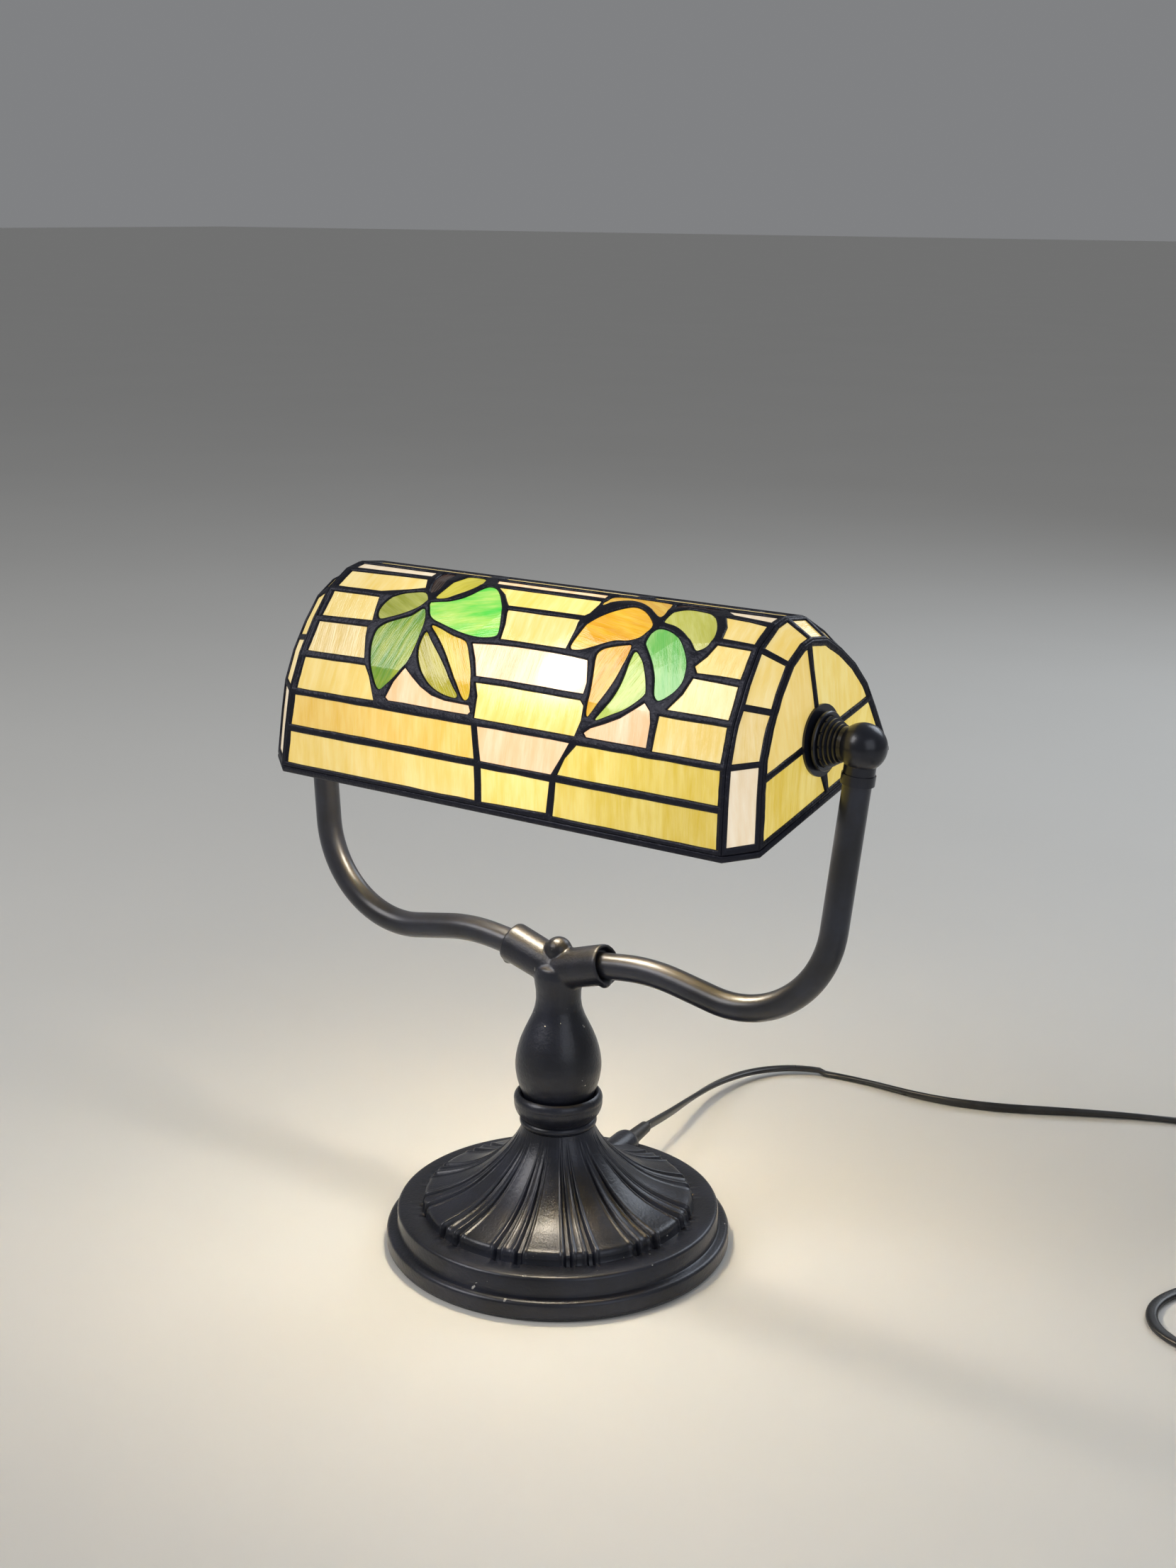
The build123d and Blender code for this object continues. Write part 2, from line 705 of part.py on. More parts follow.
tail_points = [(372.2, 29.0, 8.2), (375.5, 9.0, 7.2), (378.0, -11.0, 3.7), (382.0, -30.0, 3.5),
               (388.0, -48.0, 6.6)]


def bend_radii(points):
    """The radius of each corner of a lead: as large as its two runs allow."""
    places = [Vector(*point) for point in points]
    radii = []
    for before, here, after in zip(places, places[1:], places[2:]):
        half_turn = radians((here - before).get_angle(after - here)) / 2
        radii.append(0.45 * min((here - before).length, (after - here).length) / tan(half_turn))
    return radii


def lead_tube(points, name):
    """Sweep the flex along straight runs joined by tangent arcs."""
    radii = bend_radii(points)
    print(name, "bend radii", [round(radius) for radius in radii])
    with BuildPart() as piece:
        with BuildLine() as path:
            FilletPolyline(*points, radius=radii)
        with BuildSketch(Plane(origin=path.line @ 0, z_dir=path.line % 0)):
            Circle(lead_radius)
        sweep(path=path.line)
    length = sum(edge.length for edge in path.edges())
    print(name, "length", round(length), "volume ratio",
          round(piece.part.volume / (pi * lead_radius ** 2 * length), 4))
    return piece


lead_run = lead_tube(lead_points, "lead_run")
save(lead_run, "lead_run")
lead_tail = lead_tube(tail_points, "lead_tail")
save(lead_tail, "lead_tail")

with BuildPart() as lead_coil:
    with BuildSketch(Plane(origin=(*coil_centre, 0), x_dir=(1, 0, 0), z_dir=(0, -1, 0))):
        with Locations((coil_radius, coil_height / 2 + 0.05)):
            RectangleRounded(coil_width, coil_height, 4.5)
    revolve(axis=Axis((*coil_centre, 0), (0, 0, 1)))
save(lead_coil, "lead_coil")

# tie round the coil
with BuildPart() as coil_tie:
    tie_angle = radians(200)
    middle = (coil_centre[0] + coil_radius * cos(tie_angle), coil_centre[1] + coil_radius * sin(tie_angle),
              coil_height / 2 + 0.8)
    with BuildSketch(Plane(origin=middle, x_dir=(cos(tie_angle), sin(tie_angle), 0),
                           z_dir=(-sin(tie_angle), cos(tie_angle), 0))):
        RectangleRounded(coil_width + 2.2, coil_height + 1.5, 4.6)
        with Locations((0, -0.75)):
            RectangleRounded(coil_width + 0.6, coil_height + 0.02, 4.5, mode=Mode.SUBTRACT)
    extrude(amount=2.0, both=True)
    add(lead_coil.part, mode=Mode.SUBTRACT)
save(coil_tie, "coil_tie")

# in-line rocker switch on the straight run behind the loop
switch_start = Vector(*lead_points[14])
switch_end = Vector(*lead_points[15])
switch_middle = (switch_start + switch_end) * 0.5
switch_length = 44.0
switch_width = 24.0
switch_split = 7.0
switch_top = 14.5
switch_axis = (switch_end - switch_start).normalized()
switch_plane = Plane(origin=(switch_middle.X, switch_middle.Y, 0), x_dir=switch_axis, z_dir=(0, 0, 1))
rocker_length = 20.0
rocker_width = 11.0
rocker_gap = 0.35
rocker_height = switch_top - 3.2

with BuildPart() as switch_base:
    with BuildSketch(switch_plane.offset(0.05)):
        RectangleRounded(switch_length, switch_width, 8)
    extrude(amount=switch_split - 0.05)
    fillet(switch_base.edges().group_by(Axis.Z)[0], 1.6)
save(switch_base, "switch_base")

with BuildPart() as switch_cover:
    with BuildSketch(switch_plane.offset(switch_split)):
        RectangleRounded(switch_length, switch_width, 8)
    extrude(amount=switch_top - switch_split)
    fillet(switch_cover.edges().group_by(Axis.Z)[-1], 2.6)
    with BuildSketch(switch_plane.offset(switch_split)):
        Rectangle(rocker_length + 2 * rocker_gap, rocker_width + 2 * rocker_gap)
    extrude(amount=20, mode=Mode.SUBTRACT)
save(switch_cover, "switch_cover")

rocker_plane = Plane(origin=(switch_middle.X, switch_middle.Y, rocker_height), x_dir=switch_axis,
                     z_dir=switch_plane.y_dir)
with BuildPart() as switch_rocker:
    with BuildSketch(rocker_plane.offset(-rocker_width / 2)):
        with BuildLine():
            half = rocker_length / 2 - 0.6
            Polyline((-half + 1.2, 1.8), (-half, -4.4), (0, -1.5), (half, -4.4), (half - 1.2, 1.8),
                     close=True)
        make_face()
    extrude(amount=rocker_width)
    with BuildSketch(rocker_plane.offset(-rocker_width / 2 - 0.25)):
        Circle(1.4)
    extrude(amount=rocker_width + 0.5)
save(switch_rocker, "switch_rocker")

# flat two-pin plug
plug_back = Vector(*tail_points[-1])
plug_axis = (Vector(*tail_points[-1]) - Vector(*tail_points[-2]))
plug_axis = Vector(plug_axis.X, plug_axis.Y, 0).normalized()
plug_plane = Plane(origin=(plug_back.X, plug_back.Y, 6.6), x_dir=(-plug_axis.Y, plug_axis.X, 0),
                   z_dir=plug_axis)

with BuildPart() as plug_body:
    with BuildSketch(plug_plane):
        Circle(3.6)
    with BuildSketch(plug_plane.offset(8)):
        Ellipse(6.5, 5.2)
    with BuildSketch(plug_plane.offset(16)):
        RectangleRounded(27, 13, 6.2)
    loft()
    with BuildSketch(plug_plane.offset(16)):
        RectangleRounded(27, 13, 6.2)
    extrude(amount=18)
    add(lead_tail.part, mode=Mode.SUBTRACT)
save(plug_body, "plug_body")

with BuildPart() as plug_pins:
    with BuildSketch(plug_plane.offset(34)):
        with Locations((9, 0), (-9, 0)):
            Circle(2.0)
    extrude(amount=19)
    fillet(plug_pins.edges().filter_by(GeomType.CIRCLE), 0.9)
save(plug_pins, "plug_pins")
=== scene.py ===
import math
import random

import bmesh
import bpy
from mathutils import Matrix, Vector, noise
from mathutils.geometry import delaunay_2d_cdt


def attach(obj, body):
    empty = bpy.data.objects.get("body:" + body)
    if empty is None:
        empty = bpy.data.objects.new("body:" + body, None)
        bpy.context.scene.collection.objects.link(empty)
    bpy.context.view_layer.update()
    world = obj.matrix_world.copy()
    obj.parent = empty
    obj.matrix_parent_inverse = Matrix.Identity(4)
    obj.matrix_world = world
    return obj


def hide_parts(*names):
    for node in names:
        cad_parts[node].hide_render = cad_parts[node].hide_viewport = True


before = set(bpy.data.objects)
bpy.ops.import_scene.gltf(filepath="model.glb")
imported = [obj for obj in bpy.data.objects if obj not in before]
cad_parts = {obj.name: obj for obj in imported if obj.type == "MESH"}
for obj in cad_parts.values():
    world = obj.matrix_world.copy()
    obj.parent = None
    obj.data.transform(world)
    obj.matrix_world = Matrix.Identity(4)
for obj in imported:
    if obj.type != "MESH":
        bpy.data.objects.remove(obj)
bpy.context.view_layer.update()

# ---------------------------------------------------------------- camera
# The lamp is seen a little from the right and from just above the shade. Colours are shown as they
# are, so that the glass stays as deep as it is lit.
turn = math.radians(35.17)
pitch = math.radians(15.39)
roll = math.radians(0.38)
sight = Vector((0.01044, 0.00736, 0.22120))
distance = 0.93321
back = Vector((math.sin(turn) * math.cos(pitch), -math.cos(turn) * math.cos(pitch), math.sin(pitch)))

camera = bpy.data.objects.new("camera", bpy.data.cameras.new("camera"))
bpy.context.collection.objects.link(camera)
camera.data.lens = 48.37
camera.data.sensor_width = 36.0
camera.matrix_world = (
    Matrix.Translation(sight + back * distance)
    @ back.to_track_quat("Z", "Y").to_matrix().to_4x4()
    @ Matrix.Rotation(roll, 4, "Z")
)
bpy.context.scene.camera = camera
bpy.context.scene.view_settings.view_transform = "Standard"


# ---------------------------------------------------------------- lead
# A black flat twin flex, two PVC-covered cores side by side. It leaves the bush at the back of the
# base, crosses the table, carries an in-line switch, and the spare length is coiled and tied.
lead_width = 0.0054
lead_thickness = 0.0030
lead_height = 0.00275
lead_length = 1.8
lead_gap = 0.0001
core_waist = 0.2
core_waist_width = 0.0007
bush_turn = math.radians(97)
bush_reach = 0.0905
lead_exit = Vector((math.cos(bush_turn) * bush_reach, math.sin(bush_turn) * bush_reach, 0.0198))
lead_route = [
    tuple(lead_exit), (-0.0142, 0.1160, 0.0165), (-0.0215, 0.1500, 0.0115), (-0.0260, 0.1860, 0.0074),
    (-0.0215, 0.2165, 0.0046), (-0.0030, 0.2390, 0.0032), (0.0300, 0.2445, lead_height),
    (0.0700, 0.2415, lead_height), (0.1050, 0.2510, lead_height), (0.1400, 0.2700, lead_height),
    (0.1780, 0.2915, lead_height), (0.2180, 0.3060, lead_height), (0.2570, 0.3030, lead_height),
    (0.2840, 0.2800, lead_height), (0.2930, 0.2460, lead_height), (0.2910, 0.1860, lead_height),
    (0.2810, 0.1560, lead_height), (0.2620, 0.1290, lead_height), (0.2505, 0.1030, lead_height),
    (0.2590, 0.0805, lead_height), (0.2840, 0.0710, lead_height), (0.3110, 0.0732, lead_height)]
tail_route = [
    (0.3755, 0.0090, 0.0072), (0.3780, -0.0110, 0.0037), (0.3820, -0.0300, 0.0035), (0.3880, -0.0480, 0.0066)]

coil_centre = (0.340, 0.038)
coil_start = math.radians(95)
coil_sweep = math.radians(110.7 + 360 * 5)
coil_outer = 0.039
coil_lane = 0.0056
coil_points = 86
layer_lift = 0.00555
lower_turns = 3.0
climb_turns = 0.35
lane_hold = 0.72
flat_from = 0.68
switch_twist = math.radians(78)
switch_half_twists = 2.5
edge_rise = 0.08
plug_stretch = 0.085
plug_fall = 0.05


def held(value):
    """The value, held between 0 and 1."""
    return min(1.0, max(0.0, value))


def coil_place(turns):
    """Point of the coil after so many turns: inwards on the table, up, and outwards on top."""
    lower = min(turns, lower_turns)
    shift = held((lower % 1 - lane_hold) / (1 - lane_hold))
    radius = coil_outer - coil_lane * (lower // 1 + shift * shift * (3 - 2 * shift))
    radius += coil_lane * max(0.0, turns - lower_turns - climb_turns)
    lift = held((turns - lower_turns) / climb_turns) * layer_lift
    angle = coil_start - turns * 2 * math.pi
    return (coil_centre[0] + radius * math.cos(angle), coil_centre[1] + radius * math.sin(angle),
            lead_height + lift)


def shown_mesh(piece):
    """A plain mesh of what an object shows with its modifiers."""
    bpy.context.view_layer.update()
    return bpy.data.meshes.new_from_object(piece.evaluated_get(bpy.context.evaluated_depsgraph_get()))


coil_route = [coil_place(coil_sweep / (2 * math.pi) * step / coil_points) for step in range(coil_points + 1)]

route_curve = bpy.data.curves.new("lead_route", "CURVE")
route_curve.dimensions = "3D"
route_curve.resolution_u = 10
spline = route_curve.splines.new("NURBS")
control = lead_route + coil_route + tail_route
spline.points.add(len(control) - 1)
for point, place in zip(spline.points, control):
    point.co = (*place, 1.0)
spline.order_u = 3
spline.use_endpoint_u = True
route_object = bpy.data.objects.new("lead_route", route_curve)
bpy.context.collection.objects.link(route_object)
lead_line = [vertex.co.copy() for vertex in shown_mesh(route_object).vertices]
bpy.data.objects.remove(route_object)


def add_piece(name, mesh, body, material, material_slot, *stands_for):
    """Put a finished mesh into the scene on its body, with its material and the nodes it stands for."""
    mesh.name = name
    piece = bpy.data.objects.new(name, mesh)
    bpy.context.collection.objects.link(piece)
    mesh.materials.clear()
    mesh.materials.append(material)
    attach(piece, body)
    if stands_for:
        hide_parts(*stands_for)
    return piece


def soften(mesh, angle=35):
    """Smooth shading with crisp edges above an angle."""
    mesh.shade_smooth()
    mesh.set_sharp_from_angle(angle=math.radians(angle))


def flex_outline(count=16):
    """Section of the flex, across and up: two round cores side by side."""
    points = []
    for step in range(count):
        angle = 2 * math.pi * step / count
        across = lead_width / 2 * math.cos(angle)
        waist = 1 - core_waist * math.exp(-(across / core_waist_width) ** 2)
        up = math.copysign(abs(math.sin(angle)) ** 0.75, math.sin(angle)) * lead_thickness / 2 * waist
        points.append((across, up))
    return points


def flex_mesh(line, twist_at):
    """Sweep the flex along a line. twist_at gives its roll, and on the table it rests on the table."""
    outline = flex_outline()
    mesh = bmesh.new()
    rings = []
    gone = 0.0
    for index, place in enumerate(line):
        ahead = line[min(index + 1, len(line) - 1)] - line[max(index - 1, 0)]
        gone += (place - line[max(index - 1, 0)]).length
        side = ahead.cross(Vector((0, 0, 1))).normalized()
        up = side.cross(ahead).normalized()
        roll_here = twist_at(gone)
        across = side * math.cos(roll_here) + up * math.sin(roll_here)
        over = up * math.cos(roll_here) - side * math.sin(roll_here)
        ring = [place + across * a + over * b for a, b in outline]
        above = min(point.z for point in ring) - lead_gap
        drop = above if place.z < lead_height + 3 * lead_gap else min(0.0, above)
        rings.append([mesh.verts.new(point - Vector((0, 0, drop))) for point in ring])
    for first, second in zip(rings, rings[1:]):
        for step in range(len(outline)):
            after = (step + 1) % len(outline)
            mesh.faces.new((first[step], first[after], second[after], second[step]))
    mesh.faces.new(rings[0])
    mesh.faces.new(rings[-1][::-1])
    bmesh.ops.recalc_face_normals(mesh, faces=mesh.faces)
    made = bpy.data.meshes.new("lead")
    mesh.to_mesh(made)
    soften(made, 50)
    return made


def flex_roll(gone):
    """A lazy twist to the switch, flat beyond it, on edge in the coil, and flat again into the plug."""
    if gone < flat_from:
        share = gone / flat_from
        return switch_twist * math.cos(share * math.pi * switch_half_twists) ** 2 * (1 - share ** 3)
    rise = held((gone - flat_from) / edge_rise)
    fall = held((lead_length - plug_stretch - gone) / plug_fall)
    return math.pi / 2 * min(rise, fall)


class Value:
    """A socket of a shader tree that takes Python's operators."""

    def __init__(self, finish, socket):
        self.finish = finish
        self.socket = socket

    def maths(self, operation, *others):
        return self.finish.node("ShaderNodeMath", {"operation": operation}, dict(enumerate((self, *others))))

    def __add__(self, other):
        return self.maths("ADD", other)

    def __sub__(self, other):
        return self.maths("SUBTRACT", other)

    def __mul__(self, other):
        return self.maths("MULTIPLY", other)

    def __rsub__(self, other):
        return self.maths("MULTIPLY_ADD", -1.0, other)

    __radd__ = __add__
    __rmul__ = __mul__

    def step(self, low, high):
        """0 below low, 1 above high, smooth between."""
        values = {0: self, 1: low, 2: high, 3: 0.0, 4: 1.0}
        return self.finish.node("ShaderNodeMapRange", {"interpolation_type": "SMOOTHSTEP"}, values)


class Finish:
    """A material built round one Principled shader."""

    def __init__(self, name, **fixed):
        self.material = bpy.data.materials.new(name)
        self.material.use_nodes = True
        self.tree = self.material.node_tree
        self.shader = self.tree.nodes["Principled BSDF"]
        for socket, value in fixed.items():
            self.shader.inputs[socket.replace("_", " ")].default_value = value

    def node(self, kind, settings=None, sockets=None, output=0):
        """Any node, from its type, its settings, and the values or links of its sockets."""
        made = self.tree.nodes.new(kind)
        for key, value in (settings or {}).items():
            setattr(made, key, value)
        for key, value in (sockets or {}).items():
            if isinstance(value, Value):
                self.tree.links.new(value.socket, made.inputs[key])
            else:
                made.inputs[key].default_value = value
        return Value(self, made.outputs[output])

    def place(self):
        return self.node("ShaderNodeTexCoord", output="Object")

    def attribute(self, name, output="Color"):
        return self.node("ShaderNodeAttribute", {"attribute_name": name}, output=output)

    def stretch(self, vector, scale):
        return self.node("ShaderNodeVectorMath", {"operation": "MULTIPLY"}, {0: vector, 1: scale})

    def noise(self, vector, scale, detail=3.0, roughness=0.55):
        values = {"Vector": vector, "Scale": scale, "Detail": detail, "Roughness": roughness}
        return self.node("ShaderNodeTexNoise", {"noise_dimensions": "3D"}, values)

    def mix(self, factor, first, second, blend="MIX"):
        values = {0: factor, 6: first, 7: second}
        return self.node("ShaderNodeMix", {"data_type": "RGBA", "blend_type": blend}, values, output=2)

    def feed(self, **links):
        for socket, value in links.items():
            self.tree.links.new(value.socket, self.shader.inputs[socket.replace("_", " ")])

    def distance(self, spot):
        """How far the surface is from a spot of the lamp."""
        return self.node("ShaderNodeVectorMath", {"operation": "DISTANCE"}, {0: self.place(), 1: spot},
                         output="Value")

    def bump(self, height, depth):
        values = {"Strength": 1.0, "Distance": depth, "Height": height}
        self.feed(Normal=self.node("ShaderNodeBump", {}, values))


def black_plastic(name, colour, rough, grain, depth):
    """Black plastic with a soft moulded grain and a faint dusty bloom."""
    finish = Finish(name, Specular_IOR_Level=0.5)
    place = finish.place()
    fine = finish.noise(place, grain, 2.0)
    cloud = finish.noise(place, 60.0, 3.0)
    dusty = tuple(min(1.0, channel * 1.9 + 0.006) for channel in colour)
    finish.feed(Base_Color=finish.mix(cloud.step(0.4, 0.75), (*colour, 1), (*dusty, 1)))
    finish.feed(Roughness=cloud * 0.16 + rough)
    finish.bump(fine, depth)
    return finish.material


lead_sheath = black_plastic("lead_sheath", (0.012, 0.012, 0.013), 0.22, 900.0, 0.00006)
lead = add_piece("lead", flex_mesh(lead_line, flex_roll), "base", lead_sheath, "lead_sheath",
                 "lead_run", "lead_coil", "lead_tail")



# ---------------------------------------------------------------- tie, switch and plug
# A soft black strap is pulled snug round both layers of the coil. The bush, the switch and the plug
# are moulded in black plastic, and the switch's rocker is a little glossier.
moulding = black_plastic("moulded_black", (0.016, 0.016, 0.018), 0.36, 1800.0, 0.00012)
rocker_black = black_plastic("rocker_black", (0.03, 0.03, 0.032), 0.24, 2400.0, 0.00004)
tie_turn = math.radians(200)
tie_section = (1.7, 0.45)
tie_facets = 12
tie_outline = [(41.3, 0.9), (41.5, 4.4), (40.6, 6.3), (37, 8.7), (32.8, 11.1), (31, 11.8), (24.2, 11.9),
               (22.3, 11.1), (21.8, 9.2), (22.1, 5.2), (24.4, 1.4), (26, 0.6), (33, 0.5), (40.2, 0.5)]


def smooth_cut(outline, steps=5):
    """A smooth closed curve through the points."""
    count = len(outline)
    points = []
    for index in range(count):
        a, b, c, d = (Vector(outline[(index + shift) % count]) for shift in (-1, 0, 1, 2))
        for step in range(steps):
            t = step / steps
            points.append(tuple(0.5 * (2 * b + (c - a) * t + (2 * a - 5 * b + 4 * c - d) * t ** 2
                                       + (3 * b - a - 3 * c + d) * t ** 3)))
    return points


def skin(first, second, count):
    """The faces between two rings of points, from the numbers of their first points."""
    return [(first + step, first + (step + 1) % count, second + (step + 1) % count, second + step)
            for step in range(count)]


def tie_mesh():
    """The strap: a flat band swept round the outline of the bundle, given outwards and up in mm."""
    outward = Vector((math.cos(tie_turn), math.sin(tie_turn), 0))
    along = Vector((-outward.y, outward.x, 0))
    middle = Vector((*coil_centre, 0))
    outline = smooth_cut(tie_outline)
    verts, faces = [], []
    for step, (reach, height) in enumerate(outline):
        before, after = outline[step - 1], outline[(step + 1) % len(outline)]
        run = Vector((after[0] - before[0], after[1] - before[1])).normalized()
        away = outward * run.y - Vector((0, 0, run.x))
        for part in range(tie_facets):
            angle = 2 * math.pi * part / tie_facets
            across = math.copysign(abs(math.cos(angle)) ** 0.5, math.cos(angle)) * tie_section[0]
            lift = math.sin(angle) * tie_section[1]
            place = outward * reach + Vector((0, 0, height)) + along * across + away * lift
            verts.append(tuple(middle + place / 1000))
        faces += skin(step * tie_facets, (step + 1) % len(outline) * tie_facets, tie_facets)
    return verts, faces


def closed_mesh(name, verts, faces, angle=40):
    """A mesh from lists, with its faces turned outwards."""
    made = bpy.data.meshes.new(name)
    made.from_pydata(verts, [], faces)
    mesh = bmesh.new()
    mesh.from_mesh(made)
    bmesh.ops.recalc_face_normals(mesh, faces=mesh.faces)
    mesh.to_mesh(made)
    soften(made, angle)
    return made


def coat(node, material):
    """Give a piece that keeps its plain shape its material."""
    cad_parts[node].data.materials.clear()
    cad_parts[node].data.materials.append(material)


tie = add_piece("tie", closed_mesh("tie", *tie_mesh(), 60), "base", moulding, "black_plastic", "coil_tie")
for node in ("switch_base", "switch_cover", "plug_body", "outlet_bush"):
    coat(node, moulding)
coat("switch_rocker", rocker_black)

[tuple(place) for place in lead_line]


# ---------------------------------------------------------------- base
# A heavy iron casting with a stepped round foot. Twelve wide and twelve narrow petals run up the
# trumpet dome to the neck, and a teardrop tunnel at the back lets the lead out. Lacquered near-black.
wide_half = 9.6
narrow_half = 4.0
petal_pitch = 30
wide_flank = 1.25
narrow_flank = 1.1
ridge_inset = 1.7
ridge_width = 0.8
petal_floor = 0.74
petal_swell = 0.1
groove_depth = 1.7
groove_end = 17.5
groove_fade = 16
shoulder_reach = 58
shoulder_depth = 1.35
base_steps = 720
foot_line = [
    (75.7, 3.0), (75.7, 1.5), (79.3, 1.5), (80.0, 2.2), (80.0, 7.6), (79.6, 8.7), (78.4, 9.4), (76.2, 9.4),
    (75.3, 9.8), (75.0, 10.8), (74.9, 17.4), (74.4, 18.4), (73.4, 18.9), (69.0, 18.7), (64.6, 18.7)]
dome_line = [
    (63.3, 18.8), (63.0, 19.6), (62.9, 21.0), (62.6, 22.6), (61.8, 23.9), (60.4, 24.6), (58.2, 25.1),
    (54.6, 26.0), (50.2, 27.4), (45.6, 29.2), (41.2, 31.5), (37.0, 34.2), (33.2, 37.2), (29.6, 40.4),
    (26.2, 43.7), (23.2, 47.0), (20.8, 50.2), (18.9, 53.4), (17.6, 56.0), (16.8, 58.6)]
inside_line = [(5.3, 58.6), (5.3, 41.0), (19.0, 41.0), (27.5, 33.0), (37.0, 26.0), (47.0, 20.5), (57.0, 14.4),
               (71.0, 14.4), (71.0, 3.0)]


def petal_height(degrees):
    """1 on a petal and 0 in a groove, for a direction round the base."""
    phase = (degrees + petal_pitch / 2) % petal_pitch - petal_pitch / 2
    in_wide = wide_half - abs(phase)
    in_narrow = narrow_half - abs(abs(phase) - petal_pitch / 2)
    rise = held(max(in_wide / wide_flank, in_narrow / narrow_flank))
    rise = rise * rise * (3 - 2 * rise)
    ridge = math.exp(-((max(in_wide, in_narrow) - ridge_inset) / ridge_width) ** 2)
    swell = petal_swell * max(0.0, 1 - (phase / wide_half) ** 2)
    return rise * min(1.0, petal_floor + (1 - petal_floor) * ridge + swell)


def base_mesh():
    """Mesh of the casting: foot, petalled dome and hollow underside as one closed shell."""
    line = foot_line + dome_line + inside_line
    first_petal, last_petal = len(foot_line), len(foot_line) + len(dome_line) - 1
    verts, faces = [], []
    for step in range(base_steps):
        degrees = 360 * step / base_steps
        angle = math.radians(degrees)
        lift = petal_height(degrees)
        for index, (r, z) in enumerate(line):
            if first_petal <= index < last_petal:
                before, after = line[index - 1], line[index + 1]
                run = Vector((after[0] - before[0], after[1] - before[1])).normalized()
                fade = held((r - groove_end) / groove_fade) ** 0.8
                sunk = (1 - lift) * groove_depth * fade * (shoulder_depth if r > shoulder_reach else 1.0)
                r, z = r - run.y * sunk, z + run.x * sunk
            verts.append((r * math.cos(angle) / 1000, r * math.sin(angle) / 1000, z / 1000))
    count = len(line)
    for step in range(base_steps):
        here, there = step * count, (step + 1) % base_steps * count
        for index in range(count):
            after = (index + 1) % count
            faces.append((here + index, there + index, there + after, here + after))
    return verts, faces


def tunnel_mesh(offset):
    """Mesh of the lead's tunnel: a teardrop that grows out of the dome and ends in a round nose."""
    stations = [(42.0, 1.0, 25.2), (46.0, 3.2, 23.6), (51.0, 5.3, 21.8), (57.0, 6.6, 20.4), (63.0, 7.0, 19.8),
                (68.5, 6.95, 19.8), (70.8, 6.5, 19.8), (72.0, 5.6, 19.8), (72.4, 4.1, 19.8)]
    around = 40
    verts, faces = [], []
    out = Vector((math.cos(bush_turn), math.sin(bush_turn), 0))
    side = Vector((-out.y, out.x, 0))
    for reach, radius, height in stations:
        for step in range(around):
            angle = 2 * math.pi * step / around
            place = out * reach + side * radius * math.cos(angle)
            place += Vector((0, 0, height + radius * math.sin(angle)))
            verts.append(tuple(place / 1000))
    for level in range(len(stations) - 1):
        faces += skin(offset + level * around, offset + (level + 1) * around, around)
    faces.append(tuple(offset + step for step in range(around))[::-1])
    last = offset + (len(stations) - 1) * around
    faces.append(tuple(last + step for step in range(around)))
    return verts, faces


def black_iron(name, colour, rough, cast, chips):
    """Near-black lacquer over metal: a painted cool sheen in random patches, a faint cast texture, and pale
    chips from knocks.
    """
    finish = Finish(name, Metallic=0.35, Specular_IOR_Level=0.55, Coat_Roughness=0.22, Coat_IOR=1.45)
    place = finish.place()
    cloud = finish.noise(place, 45.0, 4.0)
    fine = finish.noise(place, 700.0, 3.0)
    # painted sheen: random patches of the colour turn bluer, standing in for a cool reflection on the lacquer
    painted_sheen_blue = tuple(channel * factor for channel, factor in zip(colour, (1.5, 1.6, 1.9)))
    painted_sheen_tint = finish.mix(cloud.step(0.35, 0.7), (*colour, 1), (*painted_sheen_blue, 1))
    speck = finish.noise(place, 260.0, 2.0).step(0.79 - chips, 0.81 - chips)
    speck = speck * finish.noise(place, 30.0, 1.0).step(0.5, 0.62)
    finish.feed(Base_Color=finish.mix(speck, painted_sheen_tint, (0.62, 0.6, 0.56, 1)))
    finish.feed(Roughness=cloud * 0.14 + fine * 0.06 + rough)
    finish.feed(Coat_Weight=cloud * 0.3 + 0.1)
    finish.bump(fine * 0.6 + cloud * 0.6 - speck * 0.4, cast)
    return finish.material


iron_black = black_iron("iron_black", (0.011, 0.012, 0.018), 0.25, 0.0003, 0.05)
base_verts, base_faces = base_mesh()
tunnel_verts, tunnel_faces = tunnel_mesh(len(base_verts))
add_piece("base", closed_mesh("base", base_verts + tunnel_verts, base_faces + tunnel_faces), "base",
          iron_black, "iron", "base_casting")


# ---------------------------------------------------------------- stem
# One iron casting: a vase that narrows to a neck and forks into two tube sockets, with a small ball
# in the fork. The parting marks are dressed off, so every inside corner is soft. It sits in the ring.
stem_line = [(0.0, 72.0), (15.8, 72.0), (17.0, 75.2), (18.3, 78.6), (19.2, 82.0), (19.8, 86.0), (19.9, 89.0),
             (19.5, 92.6), (18.8, 96.0), (17.6, 100.0), (16.0, 104.0), (14.1, 108.0), (12.2, 112.0),
             (10.9, 116.0), (10.3, 120.0), (10.4, 124.0), (11.0, 128.0), (11.4, 132.0), (10.6, 136.0),
             (7.5, 138.5), (0.0, 139.5)]
fork_place = Vector((0, 0, 133.9))
ball_place = Vector((0, 0, 143.2))
weld_reach = 27.2
socket_slope = math.radians(17)
socket_line = [(0.0, 0.0), (8.9, 0.0), (9.1, 8.0), (9.3, 25.6), (9.25, 27.4), (8.7, 28.2), (8.0, 27.9),
               (7.5, 26.6), (7.3, 24.4), (0.0, 24.4)]


def ball_line(radius, step):
    """Half outline of a ball, from pole to pole, with a point every so many degrees."""
    arc = [math.radians(angle) for angle in range(step - 90, 90, step)]
    return [(0.0, -radius)] + [(radius * math.cos(a), radius * math.sin(a)) for a in arc] + [(0.0, radius)]


